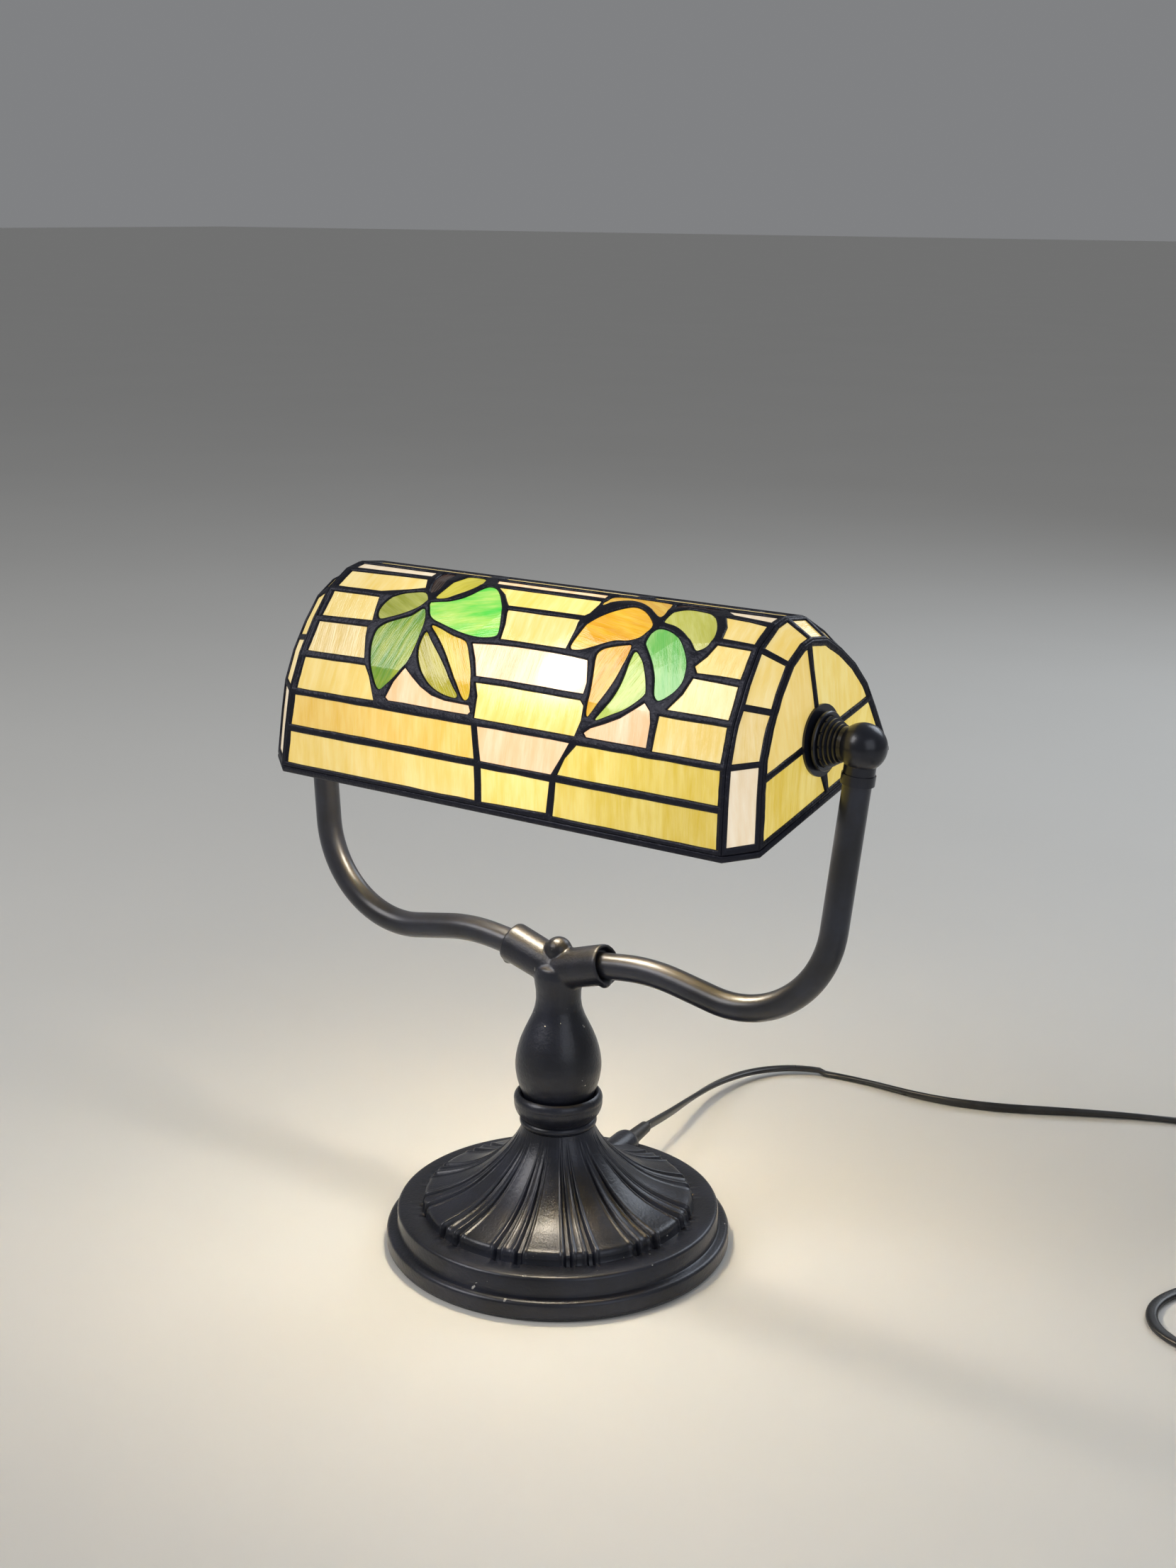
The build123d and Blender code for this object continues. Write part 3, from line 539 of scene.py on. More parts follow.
def turned(line, origin, axis, around=64):
    """Verts and faces of a solid turned about an axis, from (radius, distance along the axis) in mm."""
    axis = axis.normalized()
    side = axis.orthogonal().normalized()
    other = axis.cross(side)
    verts, faces = [], []
    for r, along in line:
        for step in range(around):
            angle = 2 * math.pi * step / around
            place = origin + axis * along + (side * math.cos(angle) + other * math.sin(angle)) * r
            verts.append(tuple(place / 1000))
    for level in range(len(line) - 1):
        faces += skin(level * around, (level + 1) * around, around)
    return verts, faces


def turned_bmesh(parts):
    """Several turned solids in one bmesh, welded at their poles and facing outwards."""
    mesh = bmesh.new()
    for line, origin, axis in parts:
        verts, faces = turned(line, origin, axis)
        made = [mesh.verts.new(vert) for vert in verts]
        for face in faces:
            mesh.faces.new([made[index] for index in face])
    bmesh.ops.remove_doubles(mesh, verts=mesh.verts, dist=1e-6)
    bmesh.ops.recalc_face_normals(mesh, faces=mesh.faces)
    return mesh


up = Vector((0, 0, 1))
stem_parts = [(stem_line, Vector((0, 0, 0)), up), (ball_line(6.3, 15), ball_place, up)]
for side in (-1, 1):
    arm_way = Vector((side * math.cos(socket_slope), 0, math.sin(socket_slope)))
    stem_parts.append((socket_line, fork_place, arm_way))
    weld = fork_place + arm_way * weld_reach + Vector((side * 0.8, -2.0, -7.4))
    stem_parts.append((ball_line(3.1, 30), weld, up))
stem_mesh = bpy.data.meshes.new("stem")
stem_shape = turned_bmesh(stem_parts)
stem_shape.to_mesh(stem_mesh)
stem = add_piece("stem", stem_mesh, "base", iron_black, "iron", "stem_casting")
blend_walls = stem.modifiers.new("cast", "REMESH")
blend_walls.mode = "VOXEL"
blend_walls.voxel_size = 0.0006
dress = stem.modifiers.new("dress", "SMOOTH")
dress.factor = 0.5
dress.iterations = 9
dressed = shown_mesh(stem)
stem.modifiers.clear()
stem.data = dressed
dressed.shade_smooth()
coat("neck_ring", iron_black)


# ---------------------------------------------------------------- arms and pivots
# Steel tube, bent cold and lacquered, pressed into the sockets. Each ends in a ball elbow; a hollow
# threaded pipe, a ridged hand nut and washers hold the shade and let it tilt.
tube_black = black_iron("tube_black", (0.020, 0.021, 0.027), 0.22, 0.00008, -0.02)
turned_black = black_iron("turned_black", (0.011, 0.012, 0.018), 0.2, 0.00006, 0.0)


def bright_metal(name, colour, rough, turned_marks):
    """Plain metal with fine turning marks and handling dullness."""
    finish = Finish(name, Metallic=1.0)
    place = finish.place()
    marks = finish.noise(finish.stretch(place, turned_marks), 1.0, 2.0)
    dull = finish.noise(place, 90.0, 3.0)
    worn = tuple(channel * 0.62 for channel in colour)
    finish.feed(Base_Color=finish.mix(dull.step(0.35, 0.75), (*colour, 1), (*worn, 1)))
    finish.feed(Roughness=marks * 0.2 + dull * 0.12 + rough)
    finish.bump(marks, 0.00004)
    return finish.material


zinc = bright_metal("zinc", (0.62, 0.62, 0.6), 0.22, (4000.0, 300.0, 300.0))
brass = bright_metal("brass", (0.72, 0.53, 0.25), 0.2, (4000.0, 300.0, 300.0))
raw_iron = bright_metal("raw_iron", (0.2, 0.19, 0.18), 0.5, (300.0, 300.0, 300.0))
node_finishes = {
    "arm_left": tube_black, "arm_right": tube_black, "elbow_left": turned_black, "elbow_right": turned_black,
    "clamp_nut_left": turned_black, "clamp_nut_right": turned_black, "outer_washer_left": turned_black,
    "outer_washer_right": turned_black, "pivot_plate_left": turned_black, "pivot_plate_right": turned_black,
    "inner_plates": turned_black, "pivot_pipe_left": zinc, "pivot_pipe_right": zinc, "inner_washers": zinc,
    "inner_nuts": brass, "plug_pins": brass, "holder_contacts": brass, "holder_thread": brass,
    "base_cover": zinc, "cover_screws": zinc, "rod_nut": zinc, "rod_washer": zinc, "stem_rod": zinc,
    "base_weight": raw_iron,
    "bulb_cap": bright_metal("cap_metal", (0.75, 0.75, 0.74), 0.2, (2500.0, 200.0, 200.0)),
    "holder_cap": moulding, "holder_shell": moulding, "holder_insulator": moulding}


def felt_finish():
    """Black felt under the foot: matted fibres with a dull bloom."""
    finish = Finish("felt", Sheen_Weight=0.5, Sheen_Roughness=0.6)
    place = finish.place()
    fibre = finish.noise(place, 1500.0, 5.0, 0.7)
    finish.feed(Base_Color=finish.mix(fibre, (0.012, 0.012, 0.013, 1), (0.05, 0.05, 0.05, 1)))
    finish.feed(Roughness=fibre * 0.1 + 0.88)
    finish.bump(fibre, 0.0006)
    return finish.material


def lamp_glass(name, colour, strength):
    """Frosted glass that shines."""
    finish = Finish(name, Emission_Strength=strength, IOR=1.45)
    place = finish.place()
    frost = finish.noise(place, 1400.0, 2.0)
    bright = finish.mix(frost, (*colour, 1), (1.0, 0.93, 0.78, 1))
    finish.feed(Base_Color=bright, Emission_Color=bright)
    finish.feed(Roughness=frost * 0.2 + 0.35)
    return finish.material


node_finishes["felt_pad"] = felt_finish()
node_finishes["bulb_glass"] = lamp_glass("bulb_frost", (1.0, 0.84, 0.62), 60.0)
node_finishes["bulb_stem"] = node_finishes["bulb_glass"]
node_finishes["bulb_filaments"] = lamp_glass("filament", (1.0, 0.7, 0.35), 14.0)
for node, material in node_finishes.items():
    coat(node, material)


# ---------------------------------------------------------------- shade: shape
# Flat strips of glass bent round a seven-sided half barrel, with a narrow bevelled band at each end
# and a flat end panel of four lights. Everything below is in millimetres in the shade's own frame.
shade_tilt = math.radians(11.5)
shade_pivot = Vector((0.0, 5.0, 259.5))
barrel_half = 115.7
end_half = 127.6
end_lean = 0.05
arch = [(64.4, -25.0), (58.7, -7.7), (52.8, 8.0), (43.1, 22.5), (31.1, 35.1), (18.4, 45.6), (4.5, 50.3)]
ring = arch + [(-u, v) for u, v in reversed(arch)]
end_scale = 0.812
end_scale_height = 7.7
solder_depth = 3.6
glass_sink = 0.9
band_width = 15.0


def in_lamp(x, u, v):
    """A point of the shade's frame (along, across, up) in the lamp's frame, in metres."""
    lean = Vector((x, u * math.cos(shade_tilt) - v * math.sin(shade_tilt),
                   u * math.sin(shade_tilt) + v * math.cos(shade_tilt)))
    return (shade_pivot + lean) / 1000


end_ring = [(u * end_scale, end_scale_height + (v - end_scale_height) * end_scale) for u, v in ring]
foot_slope = (arch[0][0] - arch[1][0]) / (arch[1][1] - arch[0][1])
foot_half = end_ring[1][0] + (end_ring[1][1] - arch[0][1]) * foot_slope
end_ring[0] = (foot_half, arch[0][1])
end_ring[-1] = (-foot_half, arch[0][1])

# distance down the front from the front edge of the crown, for each corner; the back is negative
runs = [math.dist(first, second) for first, second in zip(ring, ring[1:])]
crown_front = len(arch)
fold_places = [sum(runs[:index]) - sum(runs[:crown_front]) for index in range(len(ring))]


def facet_at(distance):
    """Which facet a distance round the barrel is on, and how far along it."""
    index = 0
    while index < len(runs) - 1 and distance > fold_places[index + 1] + 1e-4:
        index += 1
    return index, (distance - fold_places[index]) / runs[index]


def outward(index):
    """Unit vector out of a facet, across and up."""
    (u, v), (next_u, next_v) = ring[index], ring[index + 1]
    return Vector(((next_v - v) / runs[index], (u - next_u) / runs[index]))


def mitre(first, second):
    """Direction in which two faces offset together."""
    return (first + second) / (1 + first.dot(second))


def on_barrel(x, distance, depth):
    """A point in the barrel's wall: along, round from the crown, and in from its outside."""
    index, share = facet_at(distance)
    out = outward(index)
    if share > 1 - 1e-4 and index < len(runs) - 1:
        out = mitre(out, outward(index + 1))
    elif share < 1e-4 and index > 0:
        out = mitre(outward(index - 1), out)
    u = ring[index][0] + (ring[index + 1][0] - ring[index][0]) * share - out.x * depth
    v = ring[index][1] + (ring[index + 1][1] - ring[index][1]) * share - out.y * depth
    return in_lamp(x, u, v)


def barrel_edge(side, index):
    """A corner where the barrel meets the band."""
    return in_lamp(side * (barrel_half - end_lean * ring[index][1]), *ring[index]) * 1000


def end_edge(side, index):
    """A corner where the band meets the end panel."""
    return in_lamp(side * (end_half - end_lean * end_ring[index][1]), *end_ring[index]) * 1000


def band_out(side, index):
    """Unit vector out of one facet of the bevelled band."""
    along = barrel_edge(side, index + 1) - barrel_edge(side, index)
    across = end_edge(side, index) - barrel_edge(side, index)
    out = along.cross(across).normalized()
    return out if out.x * side > 0 else -out


def on_band(side):
    """Place a point in one band's wall, from its share across the band and its distance round."""
    def place(across, distance, depth):
        index, share = facet_at(distance)
        out = band_out(side, index)
        if share > 1 - 1e-4 and index < len(runs) - 1:
            out = mitre(out, band_out(side, index + 1))
        elif share < 1e-4 and index > 0:
            out = mitre(band_out(side, index - 1), out)
        inner = barrel_edge(side, index).lerp(barrel_edge(side, index + 1), share)
        outer = end_edge(side, index).lerp(end_edge(side, index + 1), share)
        return (inner.lerp(outer, across / band_width) - out * depth) / 1000
    return place


def on_end(side):
    """Place a point in one end panel's wall, from its place across and up."""
    def place(u, v, depth):
        return in_lamp(side * (end_half - end_lean * v - depth), u, v)
    return place


# ---------------------------------------------------------------- shade: cutting the glass
# Each piece of glass is cut by hand to a paper pattern, so its edges wander slightly, and leaves have
# smooth curves. Pieces are listed as (sort of glass, direction of its streaks, outline).
noise.seed_set(7)
chance = random.Random(11)
row_end = 2.3
glass_thickness = 2.4
glass_tuck = 0.8
half_lead = 1.8
end_gap = 2.4


def hand_cut(outline, wander=0.28, spacing=9.0):
    """Break straight edges into short runs that wander a little."""
    points = []
    for first, second in zip(outline, outline[1:] + outline[:1]):
        parts = max(1, round(math.dist(first, second) / spacing))
        for part in range(parts):
            share = part / parts
            place = Vector((first[0] + (second[0] - first[0]) * share,
                            first[1] + (second[1] - first[1]) * share))
            shift = noise.noise_vector(Vector((place.x * 0.31, place.y * 0.31, 3.0))) * wander
            points.append((place.x + shift.x, place.y + shift.y))
    return points


front_leaves = [
    ("olive", 20, [(-57, 13.4), (-61.2, 9.4), (-67.3, 10.4), (-72.9, 12.7), (-77.9, 17.7), (-79.6, 22.7),
                   (-77.3, 26), (-71.8, 24.3), (-65.7, 21.6), (-60.1, 18.2), (-57.3, 15.2)]),
    ("green", 110, [(-56.8, 18.9), (-61.2, 22.9), (-67.3, 25.6), (-72.9, 28.4), (-76.2, 32), (-76.5, 37.7),
                    (-74.6, 44.3), (-70.7, 52.1), (-65.7, 58.2), (-61.8, 55.4), (-57.3, 49.9), (-54, 44.3),
                    (-52.9, 37.7), (-52.5, 31), (-53.2, 24.3), (-54.9, 20.1)]),
    ("sage", 50, [(-49.6, 30.2), (-50.1, 36.4), (-48.2, 42), (-44, 47.6), (-38.4, 52.4), (-31.8, 55.2),
                  (-24.4, 56.4), (-22.6, 55.5), (-26.4, 51.8), (-32, 45.5), (-38.6, 39.2), (-45.3, 33.3),
                  (-48.3, 30.3)]),
    ("moss", 55, [(-47.4, 26), (-42.9, 27), (-35.1, 29.4), (-29, 30.6), (-25.7, 32.6), (-21.8, 38.8),
                  (-18.4, 45.4), (-16.6, 51.6), (-16.3, 55.4), (-17.7, 56.6), (-20.1, 55), (-24, 50.2),
                  (-29.6, 43.6), (-36, 36.4), (-42.7, 30.1), (-46.6, 27.1)]),
    ("emerald", 160, [(-53.8, 15.2), (-49.6, 13.8), (-45.1, 12.7), (-40.1, 9.9), (-36.8, 6.6), (-34, 2.7),
                      (-31.2, 0.4), (-27.5, 0.8), (-23.8, 3.6), (-20, 8), (-16.2, 13.2), (-14.2, 18.2),
                      (-12.4, 24.3), (-13.2, 26.4), (-18.4, 27.6), (-24, 27.7), (-30.7, 26.9), (-37.3, 25.5),
                      (-44, 23.8), (-48.4, 22.6), (-51.2, 20.8), (-52.9, 17.9)]),
    ("fern", 120, [(-53.2, 11.2), (-52.3, 5.4), (-50.9, 0), (-49.2, -5), (-47.6, -7.6), (-39.6, -7.6),
                   (-37.2, -3.6), (-36.8, -0.2), (-40, 4), (-44.8, 8.2), (-48.4, 11)]),
    ("ochre", 30, [(30.6, 1.6), (30.2, -2), (33, -7.6), (57, -7.7), (60.2, -5), (61.4, 0.4), (61.2, 3.8),
                   (59.8, 3.9), (56.6, 1.8), (51.4, -2), (46, -4.6), (40.4, -5.2), (34.9, -2.7)]),
    ("honey", 15, [(27, 26.4), (27.8, 21), (31, 12.6), (35, 7.1), (40.2, 3), (45.2, 0.8), (49.9, 1.6),
                   (54.6, 4.5), (58.8, 8.6), (60, 11.4), (59.4, 14.6), (57, 17.4), (52.5, 19.3), (47, 20),
                   (42.5, 21.7), (37, 24.4), (31.6, 26.6)]),
    ("amber", 108, [(55, 22), (55.2, 26), (54.6, 31.5), (52.9, 38.8), (49.6, 47.2), (46.6, 53.2),
                    (45.5, 54.6), (44.7, 52.4), (44.2, 45.4), (42.9, 37.7), (41.3, 30.2), (41.2, 27.2),
                    (43.4, 24.9), (48.2, 23.2), (52.8, 22)]),
    ("mint", 118, [(58.3, 24.4), (60.6, 25.8), (63.7, 29), (66.9, 34.4), (69.3, 40.2), (69.2, 42.2),
                   (66.7, 45.4), (62.5, 49.2), (57, 52.1), (51.8, 54.8), (50, 55.4), (51.6, 52.8),
                   (54.8, 47.6), (57, 41), (57.8, 34.3), (57.8, 28)]),
    ("jade", 66, [(63.7, 11.9), (67.2, 11.6), (72.7, 13.6), (78, 18), (82.7, 24.5), (84.6, 29.9),
                  (84.7, 34.3), (82.7, 38.5), (79.2, 42), (76.7, 43.2), (74.6, 41.6), (73.4, 38.6),
                  (71.9, 33.9), (69.2, 28.9), (65.7, 24.3), (63, 21.2), (61.6, 19), (62.3, 15)]),
    ("pistachio", 50, [(64.1, 6), (64.8, 1.2), (67.3, -2.4), (70.6, -4), (77.1, -3.6), (81.4, -2.4),
                       (85.6, 1.4), (88.9, 6.6), (90.6, 12.1), (90, 16.4), (87.6, 18.8), (85.4, 19.1),
                       (81.8, 15.5), (76.2, 11.1), (70.6, 8.3), (65.4, 7.2)]),
    ("bark", 90, [(-62, -7.6), (-56, -7.6), (-55.8, -2), (-55.4, 5), (-56.5, 8), (-58.5, 8.2), (-60.5, 4),
                  (-61.7, -2)]),
    ("bark", 10, [(63.6, -4.6), (65, -7.9), (84, -8), (80, -6.6), (70, -6.6)])]
end_at = [barrel_half - end_lean * v - row_end for _, v in reversed(arch)]
front_rows = [
    ("cream", 88, [(-end_at[0], 1.8), (-66, 0.6), (-63.2, 6.2), (-70, 8.4), (-75.7, 9.8), (-84, 11.8),
                   (-end_at[1], 12.4)]),
    ("pearl", 88, [(-end_at[0], -7.4), (-66.4, -7.4), (-66, -2.8), (-end_at[0], -1.8)]),
    ("cream", 88, [(-end_at[1], 16.4), (-83.4, 16.2), (-82.6, 22), (-81.4, 27.6), (-end_at[2], 28.6)]),
    ("ivory", 88, [(-end_at[2], 32.4), (-82.4, 31.6), (-81.6, 36), (-78, 45.6), (-end_at[3], 46.2)]),
    ("straw", 88, [(-end_at[3], 50), (-76, 49.6), (-72.4, 54), (-67, 63.6), (-end_at[4], 64)]),
    ("gold", 88, [(-end_at[4], 67.8), (-11.6, 67.6), (-8.8, 80.8), (-end_at[5], 80.8)]),
    ("straw", 88, [(-end_at[5], 84.6), (-8.4, 84.6), (-6.8, 98.4), (-end_at[6], 98.4)]),
    ("blush", 80, [(-53.6, 47.6), (-48.4, 51.4), (-42.9, 54.7), (-36.2, 57.6), (-28.4, 58.8), (-15.2, 59),
                   (-13.8, 61.4), (-14.6, 62.4), (-58.6, 62.4), (-60.4, 61.4), (-57.9, 54.3)]),
    ("butter", 88, [(-26.6, -0.8), (27.8, -0.8), (28.2, 2), (27, 8), (25.6, 9.6), (-13.8, 9.8), (-16.6, 7.2),
                    (-20, 3.2)]),
    ("blush", 88, [(-31.6, -7.7), (26.8, -7.7), (27.4, -4.2), (-29.6, -4.2)]),
    ("cream", 88, [(-12.4, 13), (24.8, 12.8), (25, 18), (24.4, 27), (-9.4, 27.2), (-10.2, 20)]),
    ("blush", 88, [(-22.6, 31.6), (-10, 30.6), (1.6, 30.3), (19.3, 30.3), (29.3, 30.8), (37.2, 31.2),
                   (38.6, 35.4), (40.4, 41), (40.6, 45.4), (1.6, 45), (-15, 45.3), (-18.6, 38)]),
    ("butter", 88, [(-14, 48.8), (1.6, 48.6), (40.4, 49.2), (42.4, 51), (42.8, 57), (41.4, 63.4),
                    (-10.4, 63.4), (-11.6, 54)]),
    ("blush", 88, [(-8.2, 67.4), (39.4, 67.4), (35.8, 74), (31.8, 81.2), (-4.8, 81.2)]),
    ("butter", 88, [(-4.2, 84.8), (31.2, 84.8), (30.8, 97.6), (-2.8, 98.4)]),
    ("lemon", 88, [(43.4, 67.8), (end_at[4], 67.8), (end_at[5], 80.8), (35.6, 80.8), (38.4, 74)]),
    ("lemon", 88, [(35, 84.6), (end_at[5], 84.6), (end_at[6], 98.4), (34.6, 98.4)]),
    ("blush", 80, [(71, 45.6), (74.4, 48.8), (75.8, 53.4), (76.5, 63.2), (47.4, 63), (46, 61.8), (48.6, 59.6),
                   (54.9, 57), (61.6, 53.6), (67.1, 49.2)]),
    ("cream", 88, [(79.8, 50.2), (end_at[3], 50.2), (end_at[4], 64), (80, 64)]),
    ("cream", 88, [(89.6, 32.4), (end_at[2], 33), (end_at[3], 46.4), (82.6, 46.4), (87.2, 39.4)]),
    ("straw", 88, [(94.6, 16.4), (end_at[1], 16.6), (end_at[2], 29), (90.4, 29), (88.4, 26.6), (92, 21.8)]),
    ("cream", 88, [(89.6, -1.2), (end_at[0], 1.8), (end_at[1], 12.6), (95, 11.6), (93.6, 5)]),
    ("pearl", 88, [(86, -7.4), (end_at[0], -7.4), (end_at[0], -1.8), (92, -4.4)])]

# back rows run from the crown down to the back foot, with a lead or two in each
back_rows = []
back_splits = [[-38, 41], [6], [-52, 47], [-4, 62], [-31, 38], [12]]
back_glass = ["cream", "straw", "ivory", "butter", "gold", "straw"]
for index, splits in enumerate(back_splits):
    top = -fold_places[crown_front - 1 - index] + 2.0
    bottom = -fold_places[crown_front - 2 - index] - 2.0
    bottom = bottom - 0.6 if index == 5 else bottom
    ends = [-end_at[index + 1]]
    ends += [place for split in splits for place in (split - 1.9, split + 1.9)]
    ends.append(end_at[index + 1])
    for first, second in zip(ends[::2], ends[1::2]):
        back_rows.append((back_glass[index], 88, [(first, -top), (second, -top), (second, -bottom),
                                                  (first, -bottom)]))

# bands: from the foot, over the crown, to the other foot
band_cuts = [fold_places[0] + 1.4, fold_places[2], fold_places[3] + 8.0, fold_places[5], -8.8,
             fold_places[8], fold_places[9] + 9.4, fold_places[11], fold_places[13] - 1.4]
band_glass = ["pearl", "pearl", "ivory", "cream", "cream", "cream", "ivory", "pearl"]
band_rows = []
for sort, first, second in zip(band_glass, band_cuts, band_cuts[1:]):
    start, stop, edge = first + half_lead, second - half_lead, band_width - end_gap
    band_rows.append((sort, 84, [(end_gap, start), (edge, start), (edge, stop), (end_gap, stop)]))


def end_light(side_u, upper):
    """Outline of a quarter of the end panel, in its frame, inside the solder and round the hub."""
    gap, hub, seam = 1.7, 11.0, 1.0
    rim = [(u - math.copysign(end_gap, u), v) for u, v in end_ring[:len(arch)]]
    rim = [(u, v - end_gap * max(0.0, (v - 8) / 34)) for u, v in rim]
    inner = seam * side_u + gap
    if upper:
        low = seam + gap
        wall = [(u, v) for u, v in rim if v > low and u > inner]
        wall = [(rim[1][0] - 2.1, low)] + wall + [(inner, rim[-1][1] + 0.3)]
        arc = [math.radians(angle) for angle in range(88, 2, -17)]
        hub_points = [(max(inner, hub * math.cos(a)), max(low, hub * math.sin(a))) for a in arc]
    else:
        high, foot = seam - gap, arch[0][1] + end_gap
        wall = [(inner, foot), (rim[0][0] - 0.6, foot), rim[1], (rim[1][0] - 1.9, high)]
        arc = [math.radians(angle) for angle in range(-4, -88, -17)]
        hub_points = [(max(inner, hub * math.cos(a)), min(high, hub * math.sin(a))) for a in arc]
    return [(side_u * u, v) for u, v in wall + hub_points]


end_lights = [("butter", 80, end_light(1, True)), ("straw", 84, end_light(-1, True)),
              ("lemon", 60, end_light(1, False)), ("lemon", 70, end_light(-1, False))]

# colour of each sort of glass and of its streaks
glass_sorts = {
    "cream": ((0.84, 0.60, 0.15), (0.94, 0.78, 0.38)), "ivory": ((0.76, 0.54, 0.16), (0.90, 0.74, 0.40)),
    "pearl": ((0.80, 0.64, 0.42), (0.94, 0.82, 0.64)), "straw": ((0.82, 0.58, 0.14), (0.92, 0.72, 0.28)),
    "gold": ((0.84, 0.52, 0.09), (0.94, 0.68, 0.22)), "butter": ((0.86, 0.62, 0.12), (0.96, 0.80, 0.30)),
    "lemon": ((0.70, 0.50, 0.06), (0.84, 0.68, 0.20)), "blush": ((0.84, 0.52, 0.26), (0.94, 0.70, 0.46)),
    "olive": ((0.24, 0.27, 0.02), (0.42, 0.44, 0.10)), "green": ((0.05, 0.22, 0.02), (0.36, 0.40, 0.03)),
    "sage": ((0.30, 0.26, 0.008), (0.46, 0.40, 0.02)), "moss": ((0.66, 0.34, 0.004), (0.60, 0.52, 0.04)),
    "emerald": ((0.06, 0.58, 0.05), (0.58, 0.74, 0.16)), "fern": ((0.38, 0.33, 0.01), (0.56, 0.50, 0.06)),
    "ochre": ((0.56, 0.28, 0.02), (0.72, 0.50, 0.08)), "honey": ((0.66, 0.30, 0.006), (0.80, 0.52, 0.04)),
    "amber": ((0.64, 0.27, 0.004), (0.74, 0.48, 0.04)), "mint": ((0.34, 0.50, 0.05), (0.62, 0.68, 0.18)),
    "jade": ((0.10, 0.44, 0.07), (0.40, 0.62, 0.20)), "pistachio": ((0.42, 0.42, 0.05), (0.60, 0.60, 0.18)),
    "bark": ((0.010, 0.003, 0.002), (0.05, 0.016, 0.008))}


def moved_edge(outline, shift):
    """The outline with every edge moved to its left by a distance, with its sharp corners cut short."""
    moved = []
    for index, corner in enumerate(outline):
        before = Vector(corner) - Vector(outline[index - 1])
        after = Vector(outline[(index + 1) % len(outline)]) - Vector(corner)
        left = [Vector((-run.y, run.x)).normalized() for run in (before, after)]
        way = left[0] + left[1]
        way = way / max(way.length_squared / 2, 0.75)
        moved.append(Vector(corner) + way * shift)
    return moved


def plate(outlines, thickness, edge, grow):
    """A flat plate in its own plane: the first outline less the others, with rounded edges."""
    levels = [math.radians(angle) for angle in ((0, 30, 60, 90) if edge else (0,))]
    profile = [(edge * (1 - math.cos(a)), thickness / 2 - edge + edge * math.sin(a)) for a in levels]
    profile = [(inset, -height) for inset, height in reversed(profile)] + profile
    verts, faces, rim, loops = [], [], [], []
    for number, outline in enumerate(outlines):
        area = sum(a[0] * b[1] - a[1] * b[0] for a, b in zip(outline, outline[1:] + outline[:1]))
        outline = outline if (area > 0) == (number == 0) else outline[::-1]
        count, start = len(outline), len(verts)
        for inset, height in profile:
            verts += [(place.x, place.y, height) for place in moved_edge(outline, inset - grow)]
        for level in range(len(profile) - 1):
            faces += skin(start + level * count, start + (level + 1) * count, count)
        loops.append(list(range(len(rim), len(rim) + count)))
        rim += [Vector(vert[:2]) for vert in verts[-count:]]
    inside_only = 2
    flat, _, triangles, _, _, _ = delaunay_2d_cdt(rim, [], loops, inside_only, 1e-5)
    for height, turn_over in ((thickness / 2, False), (-thickness / 2, True)):
        start = len(verts)
        verts += [(place.x, place.y, height) for place in flat]
        faces += [tuple(start + index for index in (face[::-1] if turn_over else face)) for face in triangles]
    made = bpy.data.meshes.new("plate")
    made.from_pydata(verts, [], faces)
    return made


def bent(flat, folds, place, sink, thickness):
    """Cut a flat plate at the folds and set it into the shade's wall. Also gives its flat places."""
    mesh = bmesh.new()
    mesh.from_mesh(flat)
    bmesh.ops.remove_doubles(mesh, verts=mesh.verts, dist=1e-3)
    for fold in folds:
        bmesh.ops.bisect_plane(mesh, geom=mesh.verts[:] + mesh.edges[:] + mesh.faces[:], dist=1e-4,
                               plane_co=(0, fold, 0), plane_no=(0, 1, 0))
    places = [vert.co.copy() for vert in mesh.verts]
    for vert in mesh.verts:
        vert.co = place(vert.co.x, vert.co.y, sink + thickness / 2 - vert.co.z)
    bmesh.ops.recalc_face_normals(mesh, faces=mesh.faces)
    mesh.verts.index_update()
    verts = [tuple(vert.co) for vert in mesh.verts]
    faces = [tuple(vert.index for vert in face.verts) for face in mesh.faces]
    mesh.free()
    return verts, faces, places


def cut_outline(sort, outline):
    """Leaves are cut to smooth curves, everything else to nearly straight edges."""
    rows = ("cream", "ivory", "pearl", "straw", "gold", "butter", "lemon", "blush")
    return hand_cut(outline) if sort in rows else smooth_cut(outline)


def glass_pieces(name, pieces, folds, place):
    """All the glass set into one part of the shade, with its colours and streaks stored on the mesh."""
    verts, faces, pane, vein, grain = [], [], [], [], []
    for sort, lean, outline in pieces:
        flat = plate([cut_outline(sort, outline)], glass_thickness, 0.0, glass_tuck)
        new_verts, new_faces, places = bent(flat, folds, place, glass_sink, glass_thickness)
        faces += [tuple(index + len(verts) for index in face) for face in new_faces]
        verts += new_verts
        angle = math.radians(lean + chance.uniform(-5, 5))
        along = Vector((math.cos(angle), math.sin(angle)))
        start = Vector((chance.uniform(0, 900), chance.uniform(0, 900)))
        shade = chance.uniform(0.93, 1.05)
        first, second = glass_sorts[sort]
        for spot in places:
            on_sheet = Vector((spot.x, spot.y))
            grain.append((on_sheet.dot(along) + start.x, on_sheet.dot(along.orthogonal()) + start.y, spot.z))
            pane.append(tuple(min(1.0, channel * shade) for channel in first) + (1.0,))
            vein.append(tuple(min(1.0, channel * shade) for channel in second) + (1.0,))
    made = bpy.data.meshes.new(name)
    made.from_pydata(verts, [], faces)
    for key, kind, field, values in (("pane", "FLOAT_COLOR", "color", pane),
                                     ("vein", "FLOAT_COLOR", "color", vein),
                                     ("grain", "FLOAT_VECTOR", "vector", grain)):
        layer = made.attributes.new(key, kind, "POINT")
        layer.data.foreach_set(field, [channel for value in values for channel in value])
    soften(made, 25)
    return made


